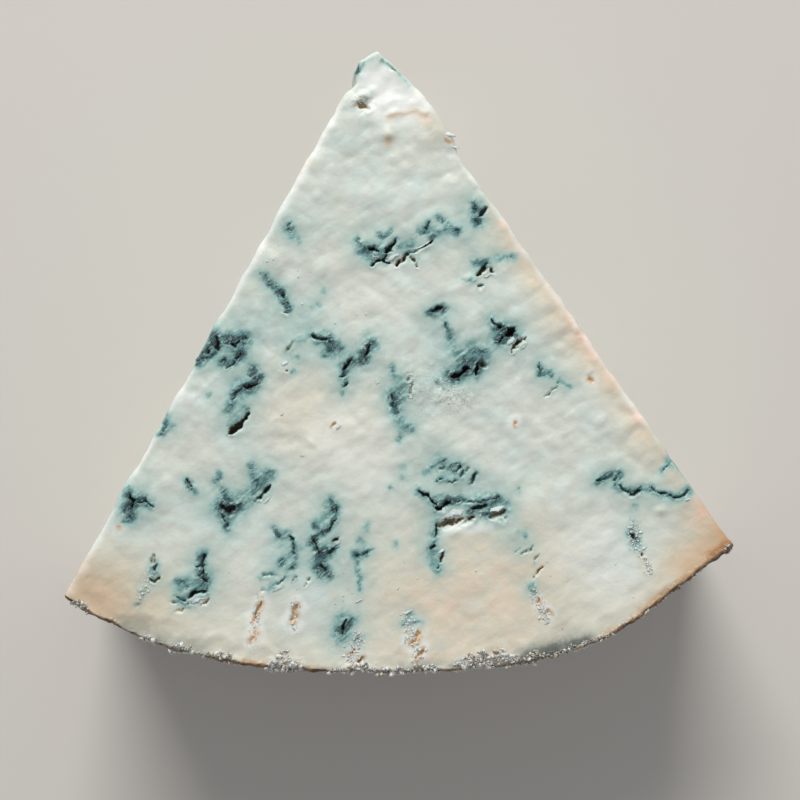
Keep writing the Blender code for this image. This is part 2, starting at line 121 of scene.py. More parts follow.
MOULD = (
    (0.47, 0.8, ((-13.4, 29.2), (-13.8, 29.8))),
    (0.39, 0.45, ((-13.1, 30.9), (-11.9, 32))),
    (0.34, 0.75, ((-2.8, 31.7), (-1.4, 32.8))),
    (0.34, 0.7, ((0.5, 30.3), (1.2, 31.1), (2.3, 30.2))),
    (0.34, 0.7, ((6.7, 30.2), (7.5, 30.2), (8.6, 30.9))),
    (0.25, 0.6, ((7.8, 28.8), (7.7, 29.7))),
    (0.37, 0.7, ((9.7, 28.1), (11.1, 29.1), (12.8, 30.2))),
    (0.31, 0.65, ((9.4, 30.5), (11.4, 30), (12.8, 30.2))),
    (0.5, 0.7, ((-2.2, 33.4), (-0.6, 34.1), (1.4, 33.2))),
    (0.39, 0.6, ((3.8, 32.7), (5.6, 32))),
    (0.23, 0.55, ((13.6, 37.8), (15.2, 37.7))),
    (0.47, 0.7, ((15.6, 35), (17.2, 35))),
    (0.31, 0.6, ((18.9, 34.4), (21.4, 34.2))),
    (0.47, 0.9, ((15.5, 25.9), (15.5, 26.7))),
    (0.47, 0.85, ((15.6, 28.6), (15.8, 29.1))),
    (0.37, 0.75, ((-17.7, 37), (-16.6, 38.6), (-14.7, 40.2), (-13.4, 42.5))),
    (0.47, 0.85, ((-14.7, 40), (-14.5, 40.6))),
    (0.78, 1, ((-27.8, 50.2), (-27, 49.5), (-26.1, 49.1), (-25.3, 48.1), (-25, 46.9))),
    (0.75, 1, ((-22.8, 47.5), (-22, 47.8), (-21.4, 47.6))),
    (0.45, 0.9, ((-21, 47.4), (-20.2, 46.9))),
    (0.39, 0.8, ((-21.9, 48.6), (-21.2, 48.8))),
    (0.47, 0.75, ((-24.1, 50.6), (-22.2, 50.8), (-21.2, 49.4))),
    (0.66, 1, ((-20.8, 54.4), (-19.8, 54.7), (-18.8, 54.1), (-18.3, 53.1), (-19.2, 52.3))),
    (0.31, 0.7, ((-21.7, 55.5), (-20.8, 54.5))),
    (0.41, 0.7, ((-22, 55.5), (-22.8, 57.2), (-23.3, 58.4))),
    (0.5, 0.4, ((-22.8, 60.6), (-21.8, 59.2), (-20.6, 58))),
    (0.25, 0.5, ((-13.8, 49.1), (-13, 47.7), (-12.7, 47.2), (-11.4, 47.2))),
    (0.56, 0.9, ((-10, 46.2), (-9.2, 46.9), (-7.7, 46.9), (-7, 48.4))),
    (0.41, 0.7, ((-6.2, 47.7), (-5.6, 49.2))),
    (0.5, 0.85, ((-5.2, 51.7), (-4.1, 50.5))),
    (0.31, 0.7, ((-5.5, 53), (-4.5, 52.5))),
    (0.72, 0.95, ((-2, 50.3), (-1.6, 48.8), (-0.8, 47.7))),
    (0.53, 0.85, ((8.4, 43.1), (9.2, 42.5), (10.2, 42.2), (10.5, 42.5))),
    (0.34, 0.7, ((10.6, 44.8), (11.1, 45.6), (11.6, 46.9))),
    (0.66, 1, ((11.6, 52.8), (12.8, 53), (13.8, 51.9), (14.4, 51.6))),
    (0.72, 1, ((15.5, 52.3), (15.8, 51.2), (16.7, 50.2), (16.9, 49.5))),
    (0.78, 0.6, ((12.3, 48.9), (13.4, 50), (14.7, 48.8), (15.6, 50.5))),
    (0.28, 0.7, ((2.5, 51.6), (3.1, 53))),
    (0.5, 0.85, ((2.2, 55.2), (2.7, 57), (3, 58.4), (3.9, 60), (4.8, 60.9))),
    (0.94, 0.55, ((4.1, 54.1), (4.1, 56.6))),
    (0.25, 0.5, ((3.6, 61.2), (3.6, 63))),
    (0.47, 0.8, ((18, 44.1), (18.6, 44.8), (19.7, 45.2))),
    (0.78, 0.9, ((20.2, 45.9), (21.4, 46.1), (19.4, 47.3))),
    (0.31, 0.8, ((25.5, 50.8), (25.6, 52.7), (26.2, 52.5))),
    (0.34, 0.7, ((27.2, 52.3), (27.3, 52.7))),
    (0.25, 0.5, ((29.1, 53.8), (30.5, 54.5))),
    (0.5, 0.85, ((10.2, 65.8), (10.5, 66.4))),
    (0.31, 0.8, ((7.7, 67.8), (8.8, 66.9))),
    (0.31, 0.6, ((9.5, 69.1), (11.6, 69.2), (12.5, 69.1))),
    (0.31, 0.6, ((11.6, 66.9), (12.3, 66.4))),
    (0.31, 0.6, ((12.3, 67.8), (13.4, 66.6))),
    (0.25, 0.55, ((13.3, 68.6), (13.6, 67.8))),
    (0.25, 0.55, ((14.8, 69.5), (15.6, 67.8))),
    (0.5, 0.6, ((6.6, 70.8), (7.3, 71.1), (8.8, 72), (9.5, 72.8))),
    (0.53, 0.85, ((9.5, 73.1), (11.4, 72.3), (13, 72.2))),
    (0.72, 0.95, ((15, 73.8), (15.9, 73.1), (17.2, 73), (17.3, 73.9))),
    (0.5, 0.64, ((16.2, 72.2), (18.4, 71.7), (20.2, 72.7))),
    (0.7, 0.55, ((9.3, 75.9), (8.9, 77.3), (8.7, 78.4), (8.9, 80.9), (9.5, 83))),
    (0.23, 0.5, ((22.5, 70.5), (22.2, 71.1))),
    (0.4, 0.9, ((24.4, 85.8), (24.4, 86.1))),
    (0.44, 0.9, ((34.7, 69.2), (36.1, 68.8), (36.9, 68.4), (37.5, 69.2), (38.1, 68))),
    (0.44, 0.62, ((38, 70), (39.1, 70.8), (40.2, 71.1), (41.6, 70.5), (42.7, 70.2), (43.4, 70.8),
     (45.6, 71.2), (46.4, 71.9), (47.8, 71.4), (48.6, 70.9))),
    (0.28, 0.7, ((44.8, 67.5), (45.6, 66.6))),
    (0.25, 0.35, ((39.8, 74.7), (40.2, 76.7))),
    (0.5, 0.75, ((40, 77.8), (40.2, 78.3), (40.6, 79.1))),
    (0.75, 1, ((-38.3, 71.6), (-38, 72.5), (-38.4, 73.3), (-38.4, 74.2))),
    (0.41, 0.9, ((-37.2, 72.7), (-36.2, 72.3), (-35.6, 72.5), (-35, 73.1))),
    (0.17, 0.6, ((-39.4, 75.5), (-37.5, 75.2))),
    (0.41, 0.9, ((-33.3, 61.7), (-32.8, 60.9), (-31.9, 60.6), (-32.7, 60.2))),
    (0.31, 0.8, ((-29.8, 69.1), (-29.2, 69.7), (-28.8, 70.5), (-28.4, 70.9))),
    (0.3, 0.7, ((-24.4, 68), (-24.5, 68.8), (-25, 69.4))),
    (0.34, 0.8, ((-23.9, 70.9), (-23.3, 72))),
    (0.78, 1, ((-24.1, 73.1), (-23.3, 73.9), (-21.9, 73.3))),
    (0.5, 0.9, ((-24.1, 74.2), (-23.8, 74.7), (-23.3, 76.7))),
    (0.6, 0.7, ((-20.2, 71.9), (-18.4, 70.4), (-17.2, 68.3), (-16.1, 68))),
    (0.41, 0.7, ((-19.5, 67), (-18.9, 69.2))),
    (0.5, 0.95, ((-26.7, 80.8), (-27.5, 82.7), (-26.9, 84.7))),
    (0.31, 0.7, ((-31.1, 84.8), (-30, 84.8))),
    (0.8, 0.65, ((-30, 86.4), (-27, 85.7))),
    (0.5, 0.5, ((-34.6, 82.4), (-34.9, 84))),
    (0.4, 0.3, ((-36, 85.8), (-37, 88.4))),
    (0.3, 0.9, ((-15.8, 77), (-15.1, 78.1), (-13.3, 77.7), (-12.7, 79.2), (-12.5, 81.4), (-13.3, 82.8))),
    (1, 0.35, ((-14.2, 79.6), (-13.9, 81.8))),
    (0.31, 0.8, ((-14.8, 81.7), (-14.8, 82))),
    (0.19, 0.5, ((-18.1, 84.2), (-16.2, 83.9), (-15.5, 83.8))),
    (0.19, 0.5, ((-16.4, 85.9), (-15.6, 85.3), (-13.9, 84.1))),
    (0.28, 0.95, ((-7, 72.2), (-6.1, 74.5), (-6.9, 76.1), (-8.3, 77.3), (-9.4, 76.1))),
    (0.8, 0.5, ((-7.3, 73.6), (-8, 75.6))),
    (0.31, 0.8, ((-8.1, 80.2), (-7.8, 80.2))),
    (0.31, 0.8, ((-7.2, 80.3), (-6.2, 79.7))),
    (0.5, 1, ((-9.6, 78), (-9.4, 79.2), (-8.6, 80.9))),
    (0.4, 0.9, ((-8.8, 82), (-7.2, 84.1))),
    (0.5, 0.6, ((-9.4, 82.8), (-8.4, 84))),
    (0.3, 0.8, ((-3.1, 80.9), (-1.9, 80.6), (-1.1, 80))),
    (0.3, 0.6, ((-2.7, 81.6), (-2.7, 83.9), (-2.5, 86.2))),
    (0.47, 0.4, ((-1.4, 76.1), (-1.4, 76.4))),
    (0.47, 0.4, ((-2.7, 78.4), (-2.5, 78.8))),
    (0.47, 0.35, ((3.1, 79.2), (3.1, 79.4))),
    (0.94, 0.9, ((-4.5, 91.1), (-5.3, 93.4))),
    (0.31, 0.6, ((4.2, 91.6), (5.6, 91.1), (6.9, 91.2))),
    (0.34, 0.8, ((-3.3, 4.5), (-3.3, 5))),
    (0.14, 0.3, ((-2.9, 5.4), (-1.8, 3.6), (0.2, 2.7))),
    (0.16, 0.34, ((0.9, 3.4), (3, 4.9), (5.2, 7.4))),
)
# Small spots of mould: (across, down)
SPOTS = (
    (-10.2, 42.2), (-8.9, 41.5), (-8.3, 39.5), (-26.2, 55.8), (-12.1, 49.9), (-8.1, 49.6), (-13.1, 52.1),
    (-5, 54), (-5.2, 55.7), (9.3, 53.8), (5.7, 61.3), (20.6, 74.1), (22.2, 77.1), (23.2, 77.9),
    (40.7, 73.2), (-36.7, 86.3), (-37.4, 88.3), (-10.5, 79.3), (4.4, 67.1), (3.9, 68.8),
    (2.5, 70.4), (-2.8, 93.9), (5.1, 90),
)
SLITS = (
    (0.1, 0.6, ((1, 3.3), (1.9, 4.1))),
    (0.1, 0.6, ((2.3, 4.5), (3.3, 5.2))),
    (0.1, 0.6, ((-3.2, 4.8), (-3, 5.6))),
    (0.45, 2.4, ((-1, 32.9), (-0.2, 32.9), (0.3, 33.3))),
    (0.36, 2.4, ((1.3, 33.3), (1.7, 32.8), (2.3, 32.4), (2.8, 31.4))),
    (0.24, 1.8, ((-0.8, 35.6), (0.1, 34.8), (1, 34.5), (1.6, 33.6))),
    (0.2, 1.4, ((0.9, 34.7), (2, 35.1))),
    (0.24, 1.3, ((4.5, 33.9), (6.2, 33.3), (7.9, 32.4), (8.9, 31.5))),
    (0.17, 0.9, ((5.2, 34.1), (6.1, 34.8), (6.3, 35.6), (6.9, 34.4))),
    (0.14, 0.8, ((8.3, 28.6), (7.6, 29.9))),
    (0.28, 1.8, ((15.8, 37.1), (17, 35.8), (17.5, 35.2))),
    (0.22, 1, ((15.9, 39.1), (16.9, 38.8))),
    (0.24, 1.2, ((17.2, 26.9), (16.1, 27.8))),
    (0.14, 0.6, ((15.4, 25.9), (15.6, 26.9))),
    (0.14, 0.6, ((15.3, 28.3), (15.9, 29.3))),
    (0.19, 0.9, ((-14.8, 40), (-14.4, 40.6))),
    (0.13, 0.5, ((-14, 41.1), (-13.5, 42.3))),
    (0.34, 1.6, ((-25.2, 46.5), (-24.7, 47.5), (-24.6, 48.7))),
    (0.28, 1.4, ((-27.3, 49.9), (-25.9, 48.9))),
    (0.2, 1.3, ((-22.7, 47.6), (-21.9, 48.1), (-21.1, 47.2))),
    (0.17, 0.7, ((-20.5, 46.7), (-19.8, 47.2))),
    (0.2, 1.3, ((-23.2, 51.6), (-22.2, 50.8), (-21.2, 49.3))),
    (0.13, 0.7, ((-24.1, 50.7), (-23.4, 50.2))),
    (0.26, 1.3, ((-20.7, 54.4), (-19.7, 54.6), (-18.6, 53.9))),
    (0.13, 0.6, ((-21.3, 55.1), (-22, 55.7), (-22.6, 56.9))),
    (0.36, 2.4, ((-23, 61.6), (-21.5, 60.8), (-20.5, 59.4), (-19.9, 58.2))),
    (0.24, 1.1, ((-9.8, 46.3), (-9.1, 46.9), (-7.9, 46.9))),
    (0.13, 0.6, ((-7.4, 47.4), (-7, 48.6))),
    (0.26, 1.4, ((-5.2, 51.7), (-3.9, 50.3))),
    (0.15, 0.9, ((-5.5, 53), (-4.5, 52.4))),
    (0.13, 0.7, ((-5, 54.5), (-4.5, 53.8))),
    (0.24, 1.6, ((-1.8, 49.6), (-0.9, 48.1))),
    (0.26, 1.4, ((8.4, 43.1), (9.1, 42.6), (10.3, 42.1))),
    (0.12, 0.5, ((10.6, 44.6), (11.1, 45.5))),
    (0.34, 2.2, ((11.7, 52.9), (12.8, 52.9), (13.8, 52), (14.4, 51.6))),
    (0.28, 2.2, ((15.6, 52.6), (15.8, 51.2), (16.7, 50.1))),
    (0.14, 0.6, ((2.3, 55.5), (2.8, 58.1))),
    (0.24, 1.4, ((18, 44.1), (18.6, 44.8), (19.7, 45.2))),
    (0.42, 2.6, ((20.6, 45.4), (21.3, 45.9), (20.4, 46.6))),
    (0.22, 1.4, ((19.8, 46.7), (19.1, 47.5))),
    (0.15, 0.7, ((25.5, 50.9), (25.6, 52.3))),
    (0.1, 0.5, ((26.4, 56.2), (28.4, 54.4))),
    (0.1, 0.4, ((28.5, 54.1), (28.6, 53.1))),
    (0.15, 0.7, ((9.7, 69.3), (10.5, 68.8))),
    (0.13, 0.6, ((11, 69.4), (11.6, 69.1))),
    (0.14, 0.7, ((11.9, 69.4), (12.6, 69))),
    (0.14, 0.6, ((11.5, 67.1), (12.2, 66.4))),
    (0.15, 0.8, ((12.3, 67.8), (13.2, 66.7))),
    (0.14, 0.7, ((13.2, 68.7), (13.7, 67.7))),
    (0.12, 0.6, ((14.1, 67.8), (14.5, 67.1))),
    (0.14, 0.8, ((14.9, 69.5), (15.5, 68.1))),
    (0.13, 0.6, ((10.2, 67.6), (10.8, 66.9))),
    (0.2, 1.4, ((6.6, 70.7), (8, 71.5), (9.4, 73))),
    (0.34, 2.2, ((9.4, 73.4), (10.5, 73.2), (11.2, 72.7), (11.8, 72.5))),
    (0.2, 1.5, ((12.3, 72.6), (13.2, 72.3))),
    (0.14, 0.8, ((13.5, 72.4), (15.5, 72.4), (16.9, 72.2))),
    (0.3, 1.4, ((15.3, 73.7), (16.3, 73.2), (17.2, 72.9))),
    (0.2, 1, ((18.2, 72.2), (19.1, 71.6))),
    (0.14, 1.2, ((9.6, 75.6), (9.4, 77.5), (9.3, 79))),
    (0.15, 1, ((9.4, 79.4), (8.6, 80.1))),
    (0.16, 1.2, ((10.7, 80.3), (10.2, 81.4), (9.7, 83.3))),
    (0.16, 0.8, ((34.7, 69.2), (35.8, 68.9), (36.9, 68.4))),
    (0.14, 0.7, ((37.2, 69.3), (38.1, 68))),
    (0.2, 1.2, ((38, 70), (39.1, 70.8), (40.2, 71.1), (41.4, 70.6))),
    (0.15, 0.9, ((42.9, 70.3), (43.4, 70.8), (45.4, 71.2))),
    (0.18, 1.1, ((45.9, 71.6), (46.4, 71.9), (47.8, 71.4), (48.8, 70.8))),
    (0.17, 0.8, ((44.8, 67.5), (45.6, 66.6))),
    (0.3, 1.4, ((39.9, 77.8), (40.4, 78.5))),
    (0.34, 1.6, ((-38.3, 71.6), (-38, 72.5), (-38.4, 74.1))),
    (0.17, 0.8, ((-37.2, 72.7), (-36, 72.3), (-35, 73.1))),
    (0.15, 0.8, ((-29.8, 69.1), (-29.2, 69.7), (-28.5, 70.9))),
    (0.34, 1.7, ((-24.2, 73), (-23.3, 73.8), (-22, 73.2))),
    (0.16, 1, ((-23.9, 74.6), (-23.4, 76.5))),
    (0.26, 1.5, ((-18.9, 72.4), (-17.8, 71.4), (-16.5, 69.9))),
    (0.18, 1.2, ((-35.5, 84.6), (-34.7, 85), (-33.8, 84.3))),
    (0.22, 1.2, ((-26.8, 80.8), (-27.3, 82.3), (-26.8, 83.9))),
    (0.3, 2.2, ((-29.3, 87.6), (-28.3, 86.6), (-26.4, 86.5))),
    (0.11, 0.7, ((-31.6, 87.3), (-30, 88.1))),
    (0.1, 0.6, ((-30.9, 87.7), (-28.4, 88.8))),
    (0.08, 0.5, ((-32.2, 88.1), (-30.9, 88.4))),
    (0.1, 0.6, ((-29.7, 87.8), (-29.2, 89.1))),
    (0.12, 0.8, ((-28.1, 82.8), (-26.5, 82.4))),
    (0.12, 0.8, ((-28.2, 84.2), (-27, 83.4))),
    (0.12, 0.8, ((-27.2, 84.2), (-26.5, 85.2))),
    (0.2, 1, ((-34.4, 82.4), (-34.9, 83.6))),
    (0.13, 0.6, ((-18.1, 84.2), (-16.2, 83.9))),
    (0.14, 0.7, ((-16.4, 85.9), (-15.6, 85.3), (-14, 84.1))),
    (0.12, 0.5, ((-17.8, 86.2), (-16.7, 86.4))),
    (0.12, 0.5, ((-13, 84.9), (-12.1, 84.2))),
    (0.16, 0.8, ((-13.7, 77.8), (-12.8, 78.3), (-12.7, 80.7))),
    (0.16, 0.9, ((-6.3, 73.6), (-6.2, 74.9), (-7.3, 76.8))),
    (0.2, 1.2, ((-6.9, 78.6), (-5.9, 78))),
    (0.16, 0.8, ((-7.3, 80.4), (-6.1, 79.6))),
    (0.28, 1.5, ((-9.6, 78.4), (-9.2, 79.8), (-8.8, 81.1))),
    (0.18, 1, ((-8.8, 82.3), (-7.6, 83.5))),
    (0.13, 0.6, ((-3.1, 80.9), (-1.9, 80.6), (-1.1, 80))),
    (0.3, 1.4, ((-4.5, 91.1), (-5, 92.3), (-5.2, 93.2))),
    (0.1, 0.4, ((21.6, 80.6), (22.6, 79.6))),
    (0.1, 0.4, ((22.6, 81), (23.6, 79.9))),
    (0.12, 0.5, ((23.5, 80.9), (24.6, 79.2))),
    (0.1, 0.4, ((24.6, 82.2), (25.3, 80.8))),
)
GAPS = (
    (0.32, 1.8, ((3.2, 35.5), (3.6, 34.8), (4.6, 34.1))),
    (0.36, 1.5, ((17.8, 36.4), (18.1, 36.1))),
    (0.16, 1, ((-14.5, 42.7), (-13.6, 43.1))),
    (0.2, 0.8, ((-15.2, 51.9), (-14.8, 51.9))),
    (0.2, 0.8, ((-14.1, 52), (-13.9, 52.2))),
    (0.14, 0.5, ((-13.8, 49), (-12.9, 47.2))),
    (0.36, 1.6, ((16.3, 51.2), (16.9, 50.6))),
    (0.15, 0.7, ((5.3, 52.8), (5, 53.6))),
    (0.15, 0.7, ((5.6, 53.9), (5.2, 54.8), (5.5, 55.8))),
    (0.24, 2, ((21.4, 49.1), (21.7, 48), (22.5, 47.3), (23.4, 46.9))),
    (0.56, 1.1, ((9.9, 76.1), (11, 75.6), (12.2, 75.7), (13.9, 75.1), (15.3, 75))),
    (0.5, 1.2, ((17.8, 74.7), (19, 74.4), (20.4, 73.8))),
    (0.14, 0.8, ((24.5, 84.5), (25.9, 82.5))),
    (0.2, 0.9, ((41.4, 80.5), (41.7, 80.9))),
    (0.4, 0.6, ((-34.9, 80.9), (-34.8, 82.2))),
    (0.08, 0.25, ((-31.4, 89.8), (-29.8, 89.4))),
    (0.15, 0.8, ((-11.1, 85.8), (-10.3, 84.5))),
    (0.95, 0.9, ((-2.6, 10.3), (-1.4, 10.8))),
)
GASHES = (
    (0.26, 0.7, ((-17.8, 88.1), (-18.4, 89.5), (-19.1, 91.1))),
    (0.3, 0.6, ((-18.8, 93.1), (-19.4, 94.1))),
    (0.3, 0.6, ((-12.2, 88.6), (-12.7, 89.5), (-12.7, 90.5), (-13, 91.4))),
    (0.15, 0.8, ((-3.4, 95.3), (-4.2, 96.5))),
    (0.24, 0.8, ((-2, 96.9), (-3.5, 98.2))),
    (0.28, 0.7, ((6.7, 92.8), (6.2, 94), (5.5, 94.4))),
    (0.18, 0.7, ((7.3, 95.3), (7.1, 96.3), (6.2, 97.1))),
    (0.2, 0.6, ((25.2, 87.6), (25.5, 88.4))),
    (0.18, 0.6, ((26.9, 89.4), (27.2, 89.9))),
    (0.14, 0.5, ((-6.2, 60), (-7, 60.8))),
    (0.08, 0.6, ((-27.6, 88.7), (-26.1, 87.8))),
    (0.2, 0.3, ((-40.3, 76.4), (-40.2, 76.7))),
    (0.24, 0.2, ((21.7, 60.2), (21.7, 60.5))),
    (0.2, 0.3, ((33.4, 53.3), (33.8, 53.6))),
)
# Torn sheets of paste that stand up at the cracks: (half width, lift of the near edge, path)
FLAPS = (
    (0.45, 0.35, ((-0.9, 33.9), (0.3, 33.9), (1.3, 33.7))),
    (0.5, 0.5, ((1.4, 34.9), (2.6, 34.1), (3.7, 33.3))),
    (0.18, 0.3, ((4.9, 33.3), (7.1, 32.6), (8.8, 31.4))),
    (0.22, 0.35, ((16.6, 37.6), (18.2, 36.7))),
    (0.5, 0.4, ((-15.2, 51.2), (-14.2, 50.6), (-13.5, 50.2))),
    (0.34, 0.45, ((21.9, 46.7), (20.8, 47.5), (20.2, 48.2))),
    (0.24, 0.4, ((22.2, 48.9), (23.6, 47.7))),
    (0.8, 0.5, ((9.3, 74.8), (11.4, 74.2), (14.6, 73.2))),
    (0.42, 0.6, ((17.4, 74), (18.6, 73.6), (20.2, 73))),
    (0.2, 0.4, ((16, 75.2), (16.5, 74))),
    (0.26, 0.45, ((9.6, 80.6), (10.7, 79.7))),
    (0.2, 0.4, ((-17.9, 73.1), (-16.2, 71.2))),
    (0.55, 0.5, ((-29.2, 88.2), (-28, 87.6), (-26.4, 87.2))),
    (0.18, 0.35, ((-6.6, 79.3), (-5.3, 78.5))),
    (0.13, 0.3, ((-16.9, 86.9), (-13.6, 85.2))),
    (0.14, 0.3, ((-3.9, 88.5), (-1.6, 87.4))),
    (0.2, 0.4, ((3.9, 90.1), (6, 89.2))),
    (0.22, 0.4, ((5.6, 93.6), (6.6, 91.6))),
    (0.16, 0.35, ((4.4, 95.1), (4.6, 93.1))),
    (0.14, 0.3, ((-0.2, 54.3), (0.8, 53.4))),
    (0.15, 0.35, ((26.1, 91.8), (27.4, 90.6))),
    (0.16, 0.4, ((-18.6, 88.4), (-19.4, 90.4))),
    (0.2, 0.35, ((-6.5, 61.4), (-5.3, 60.2))),
    (0.2, 0.4, ((41.2, 80.2), (42.4, 79.2))),
    (0.24, 0.35, ((-15.3, 59.1), (-14.2, 58.2))),
    (0.3, 0.3, ((-12.4, 65.4), (-10.6, 64.9))),
    (0.2, 0.4, ((47.8, 72.3), (49.4, 71.8))),
)
SPLINTERS = (  # the same of clean paste
    (0.4, 0.4, ((-3.3, 10), (-2.2, 9.5), (-0.8, 9.9))),
    (0.34, 0.1, ((9.6, 14.7), (11.2, 15.1), (12.5, 15.4))),
    (0.16, 0.1, ((11.6, 17), (13.1, 17.2))),
)
BUMPS = (
    (0.62, 0.5, ((44.4, 73.9),)),
    (0.47, 0.35, ((-10.2, 63.4),)),
    (0.4, 0.5, ((33.3, 52.2),)),
    (0.37, 0.5, ((31.4, 45.5),)),
    (0.62, 0.4, ((2.2, 15.2),)),
    (1.2, 0.3, ((3, 10.9), (6.9, 10.9))),
    (0.78, 0.35, ((-0.6, 8.4),)),
    (0.62, 0.3, ((3.1, 19.1),)),
    (0.62, 0.3, ((-0.2, 17.5),)),
    (0.55, 0.3, ((-7.2, 20.6),)),
    (0.47, 0.3, ((-16.6, 54.7),)),
    (0.7, 0.8, ((-2.5, 9.4), (-1.4, 9.2))),
)
# Whiter paste, and painted highlights along the rounded cut edges, on a lit slope below a crack and over
# the lower right: (radius, strength, points)
WHITE = (
    # painted highlight along the rounded left edge, where it catches the light
    (0.8, 0.8, ((-6.2, 10.9), (-48, 86))),
    (2.8, 0.95, ((-0.5, 5), (1.5, 9.5), (6, 10))),
    # painted highlight along the rounded right edge
    (0.6, 0.5, ((13.4, 18.9), (31, 44.1), (44, 62.6))),
    (4.5, 0.4, ((-6, 62), (-2, 64.5))),
    # painted light over the lower right, as if more of the window's light fell there
    (5, 0.4, ((34, 80.5), (37, 82.5))),
    # painted highlight on the lit slope below the crack
    (0.7, 0.9, ((10.4, 77), (12.6, 76.5), (15.9, 76.6), (20.6, 75.6))),
    (0.4, 0.3, ((-0.4, 36), (2.4, 35.7))),
    (0.4, 0.3, ((3.6, 36), (5, 35))),
    (0.4, 0.4, ((-22.4, 62), (-20, 60))),
    (0.5, 0.8, ((-28.6, 87.9), (-26.8, 87.3))),
)
# Warmer paste: (radius, strength, points)
WARM = (
    (8, 0.65, ((-46, 87.5), (-41, 89.5))),
    (5, 0.7, ((54, 79), (49, 83))),
    (5.5, 0.45, ((-12, 58), (-4, 62.5))),
    (9, 0.8, ((9, 88), (22, 86))),
    (7, 0.25, ((-27, 90), (-38, 86))),
    (3.4, 1, ((20, 28), (31.8, 44.5), (51.5, 73))),
    (1.2, 0.5, ((6.2, 9.6), (9.8, 14.6))),
    (0.7, 1, ((2, 12.6), (3.8, 11.9), (5.5, 11.7), (8, 12.6))),
    (0.6, 0.6, ((2.4, 16.1), (2.6, 16.3))),
    (0.5, 0.9, ((-11, 20), (-15, 26))),
)
# Tan paste, and tan painted shadows under a splinter and under a lump: (radius, strength, points)
TAN_AND_PAINTED_SHADOW = (
    (0.36, 0.4, ((1.9, 12.5), (3.8, 11.9), (5.9, 11.8), (7.9, 12.5))),
    (0.6, 0.4, ((1.9, 15.9), (2.3, 16.4))),
    # painted shadow under the splinter at the nose
    (0.4, 0.7, ((11.2, 15.8), (11.7, 16.2))),
    (0.6, 0.3, ((-2.3, 10.6), (-1.7, 10.8))),
    # painted shadow under the lump beside it
    (0.4, 0.4, ((44.7, 74.7),)),
    (5, 0.4, ((-46.5, 86), (-40, 91))),
    (3.4, 0.45, ((54, 79), (50, 83))),
    (0.9, 0.32, ((51, 72.5), (56, 79.5))),
    (0.9, 0.25, ((41.4, 82.2),)),
)
GRAIN = ((3.6, 1, ((9.5, 55), (12, 55.5))),)  # a patch of dry, pale, crumbly curd

# The rind by bearing. Glow and mildew are (first bearing, last bearing, how far in, strength).
# Crumbs are (first bearing, last bearing, how far in, number, whiteness).
RIND_GLOW = (
    (-29.2, -26.5, 1, 0.5), (-26, -23.2, 1.3, 0.75), (-15, -12, 1, 0.5),
    (-12.6, -10, 1.5, 0.8), (-7.2, -4.4, 1.5, 0.75), (5.4, 7.4, 1.2, 0.4),
    (20.5, 25.5, 1.8, 0.7), (24, 33.5, 2.6, 0.75), (32, 35.1, 4.5, 0.9),
)
RIND_MILDEW = (
    (-25, -14, 8.5, 0.42), (1, 7, 4, 0.5), (6, 13, 3.6, 0.8), (12, 20.5, 5.2, 1),
)
RIND_CRUMBS = (
    (-28.3, -26.6, 1.2, 60, 0.6), (-21.6, -20, 1, 52, 0.9), (-18.6, -15.7, 1.4, 92, 0.75),
    (-15.6, -12.2, 1.5, 120, 0.3), (-9.9, -6.7, 2.3, 220, 0.8), (-4.4, -2.8, 0.7, 40, 0.8),
    (-2.9, 0.2, 1.9, 160, 0.85), (0.2, 3.2, 1, 100, 0.7), (3.2, 5.8, 1.3, 88, 0.6),
    (7, 13.3, 2.7, 400, 0.7), (13, 16, 1.4, 120, 0.35), (16, 21.8, 1.1, 160, 0.55),
    (24.5, 31, 0.5, 52, 0.1), (34.2, 35, 0.6, 16, 0.8),
)
# Patches on the rind's upright face: (field, size, strength)
RIND_PATCHES = (("mildew", 6, 0.8), ("toast_and_shade", 13, 0.9), ("powder", 5, 0.8))
# Crumbs in the needles' channels and cracks: (spread, number, largest size, path)
PASTE_CRUMBS = (
    (0.8, 52, 0.45, ((40.2, 75.8), (40.6, 79.6))),
    (0.7, 32, 0.4, ((42, 81.5), (43, 83.6))),
    (0.8, 60, 0.4, ((24.6, 86.6), (26.8, 90.8))),
    (1, 88, 0.42, ((4.8, 90.4), (6.6, 97))),
    (0.8, 52, 0.42, ((-3, 94.2), (-4.4, 97.4))),
    (0.6, 36, 0.36, ((-3.2, 93), (-2.4, 94.6))),
    (0.7, 32, 0.36, ((-18.2, 87.6), (-19.4, 94.6))),
    (0.7, 32, 0.36, ((-12.4, 88.4), (-13, 92.2))),
    (0.8, 20, 0.4, ((-35.2, 83.8), (-36.8, 87.6))),
    (1.5, 60, 0.24, ((10, 54.4), (13.2, 56.6))),
    (0.5, 18, 0.4, ((-3.2, 9.7), (-1.2, 9.5))),
    (0.6, 20, 0.34, ((5.4, 52.4), (5.4, 56.4))),
    (3, 48, 0.3, ((-20, 30), (10, 60))),
    (5, 60, 0.26, ((-30, 84), (40, 84))),
)

# How far around these strokes the mesh of the upper face is finer
FINE_AROUND = ((MOULD, 0.3), (SLITS, 0.45), (GAPS, 0.6), (GASHES, 0.4))

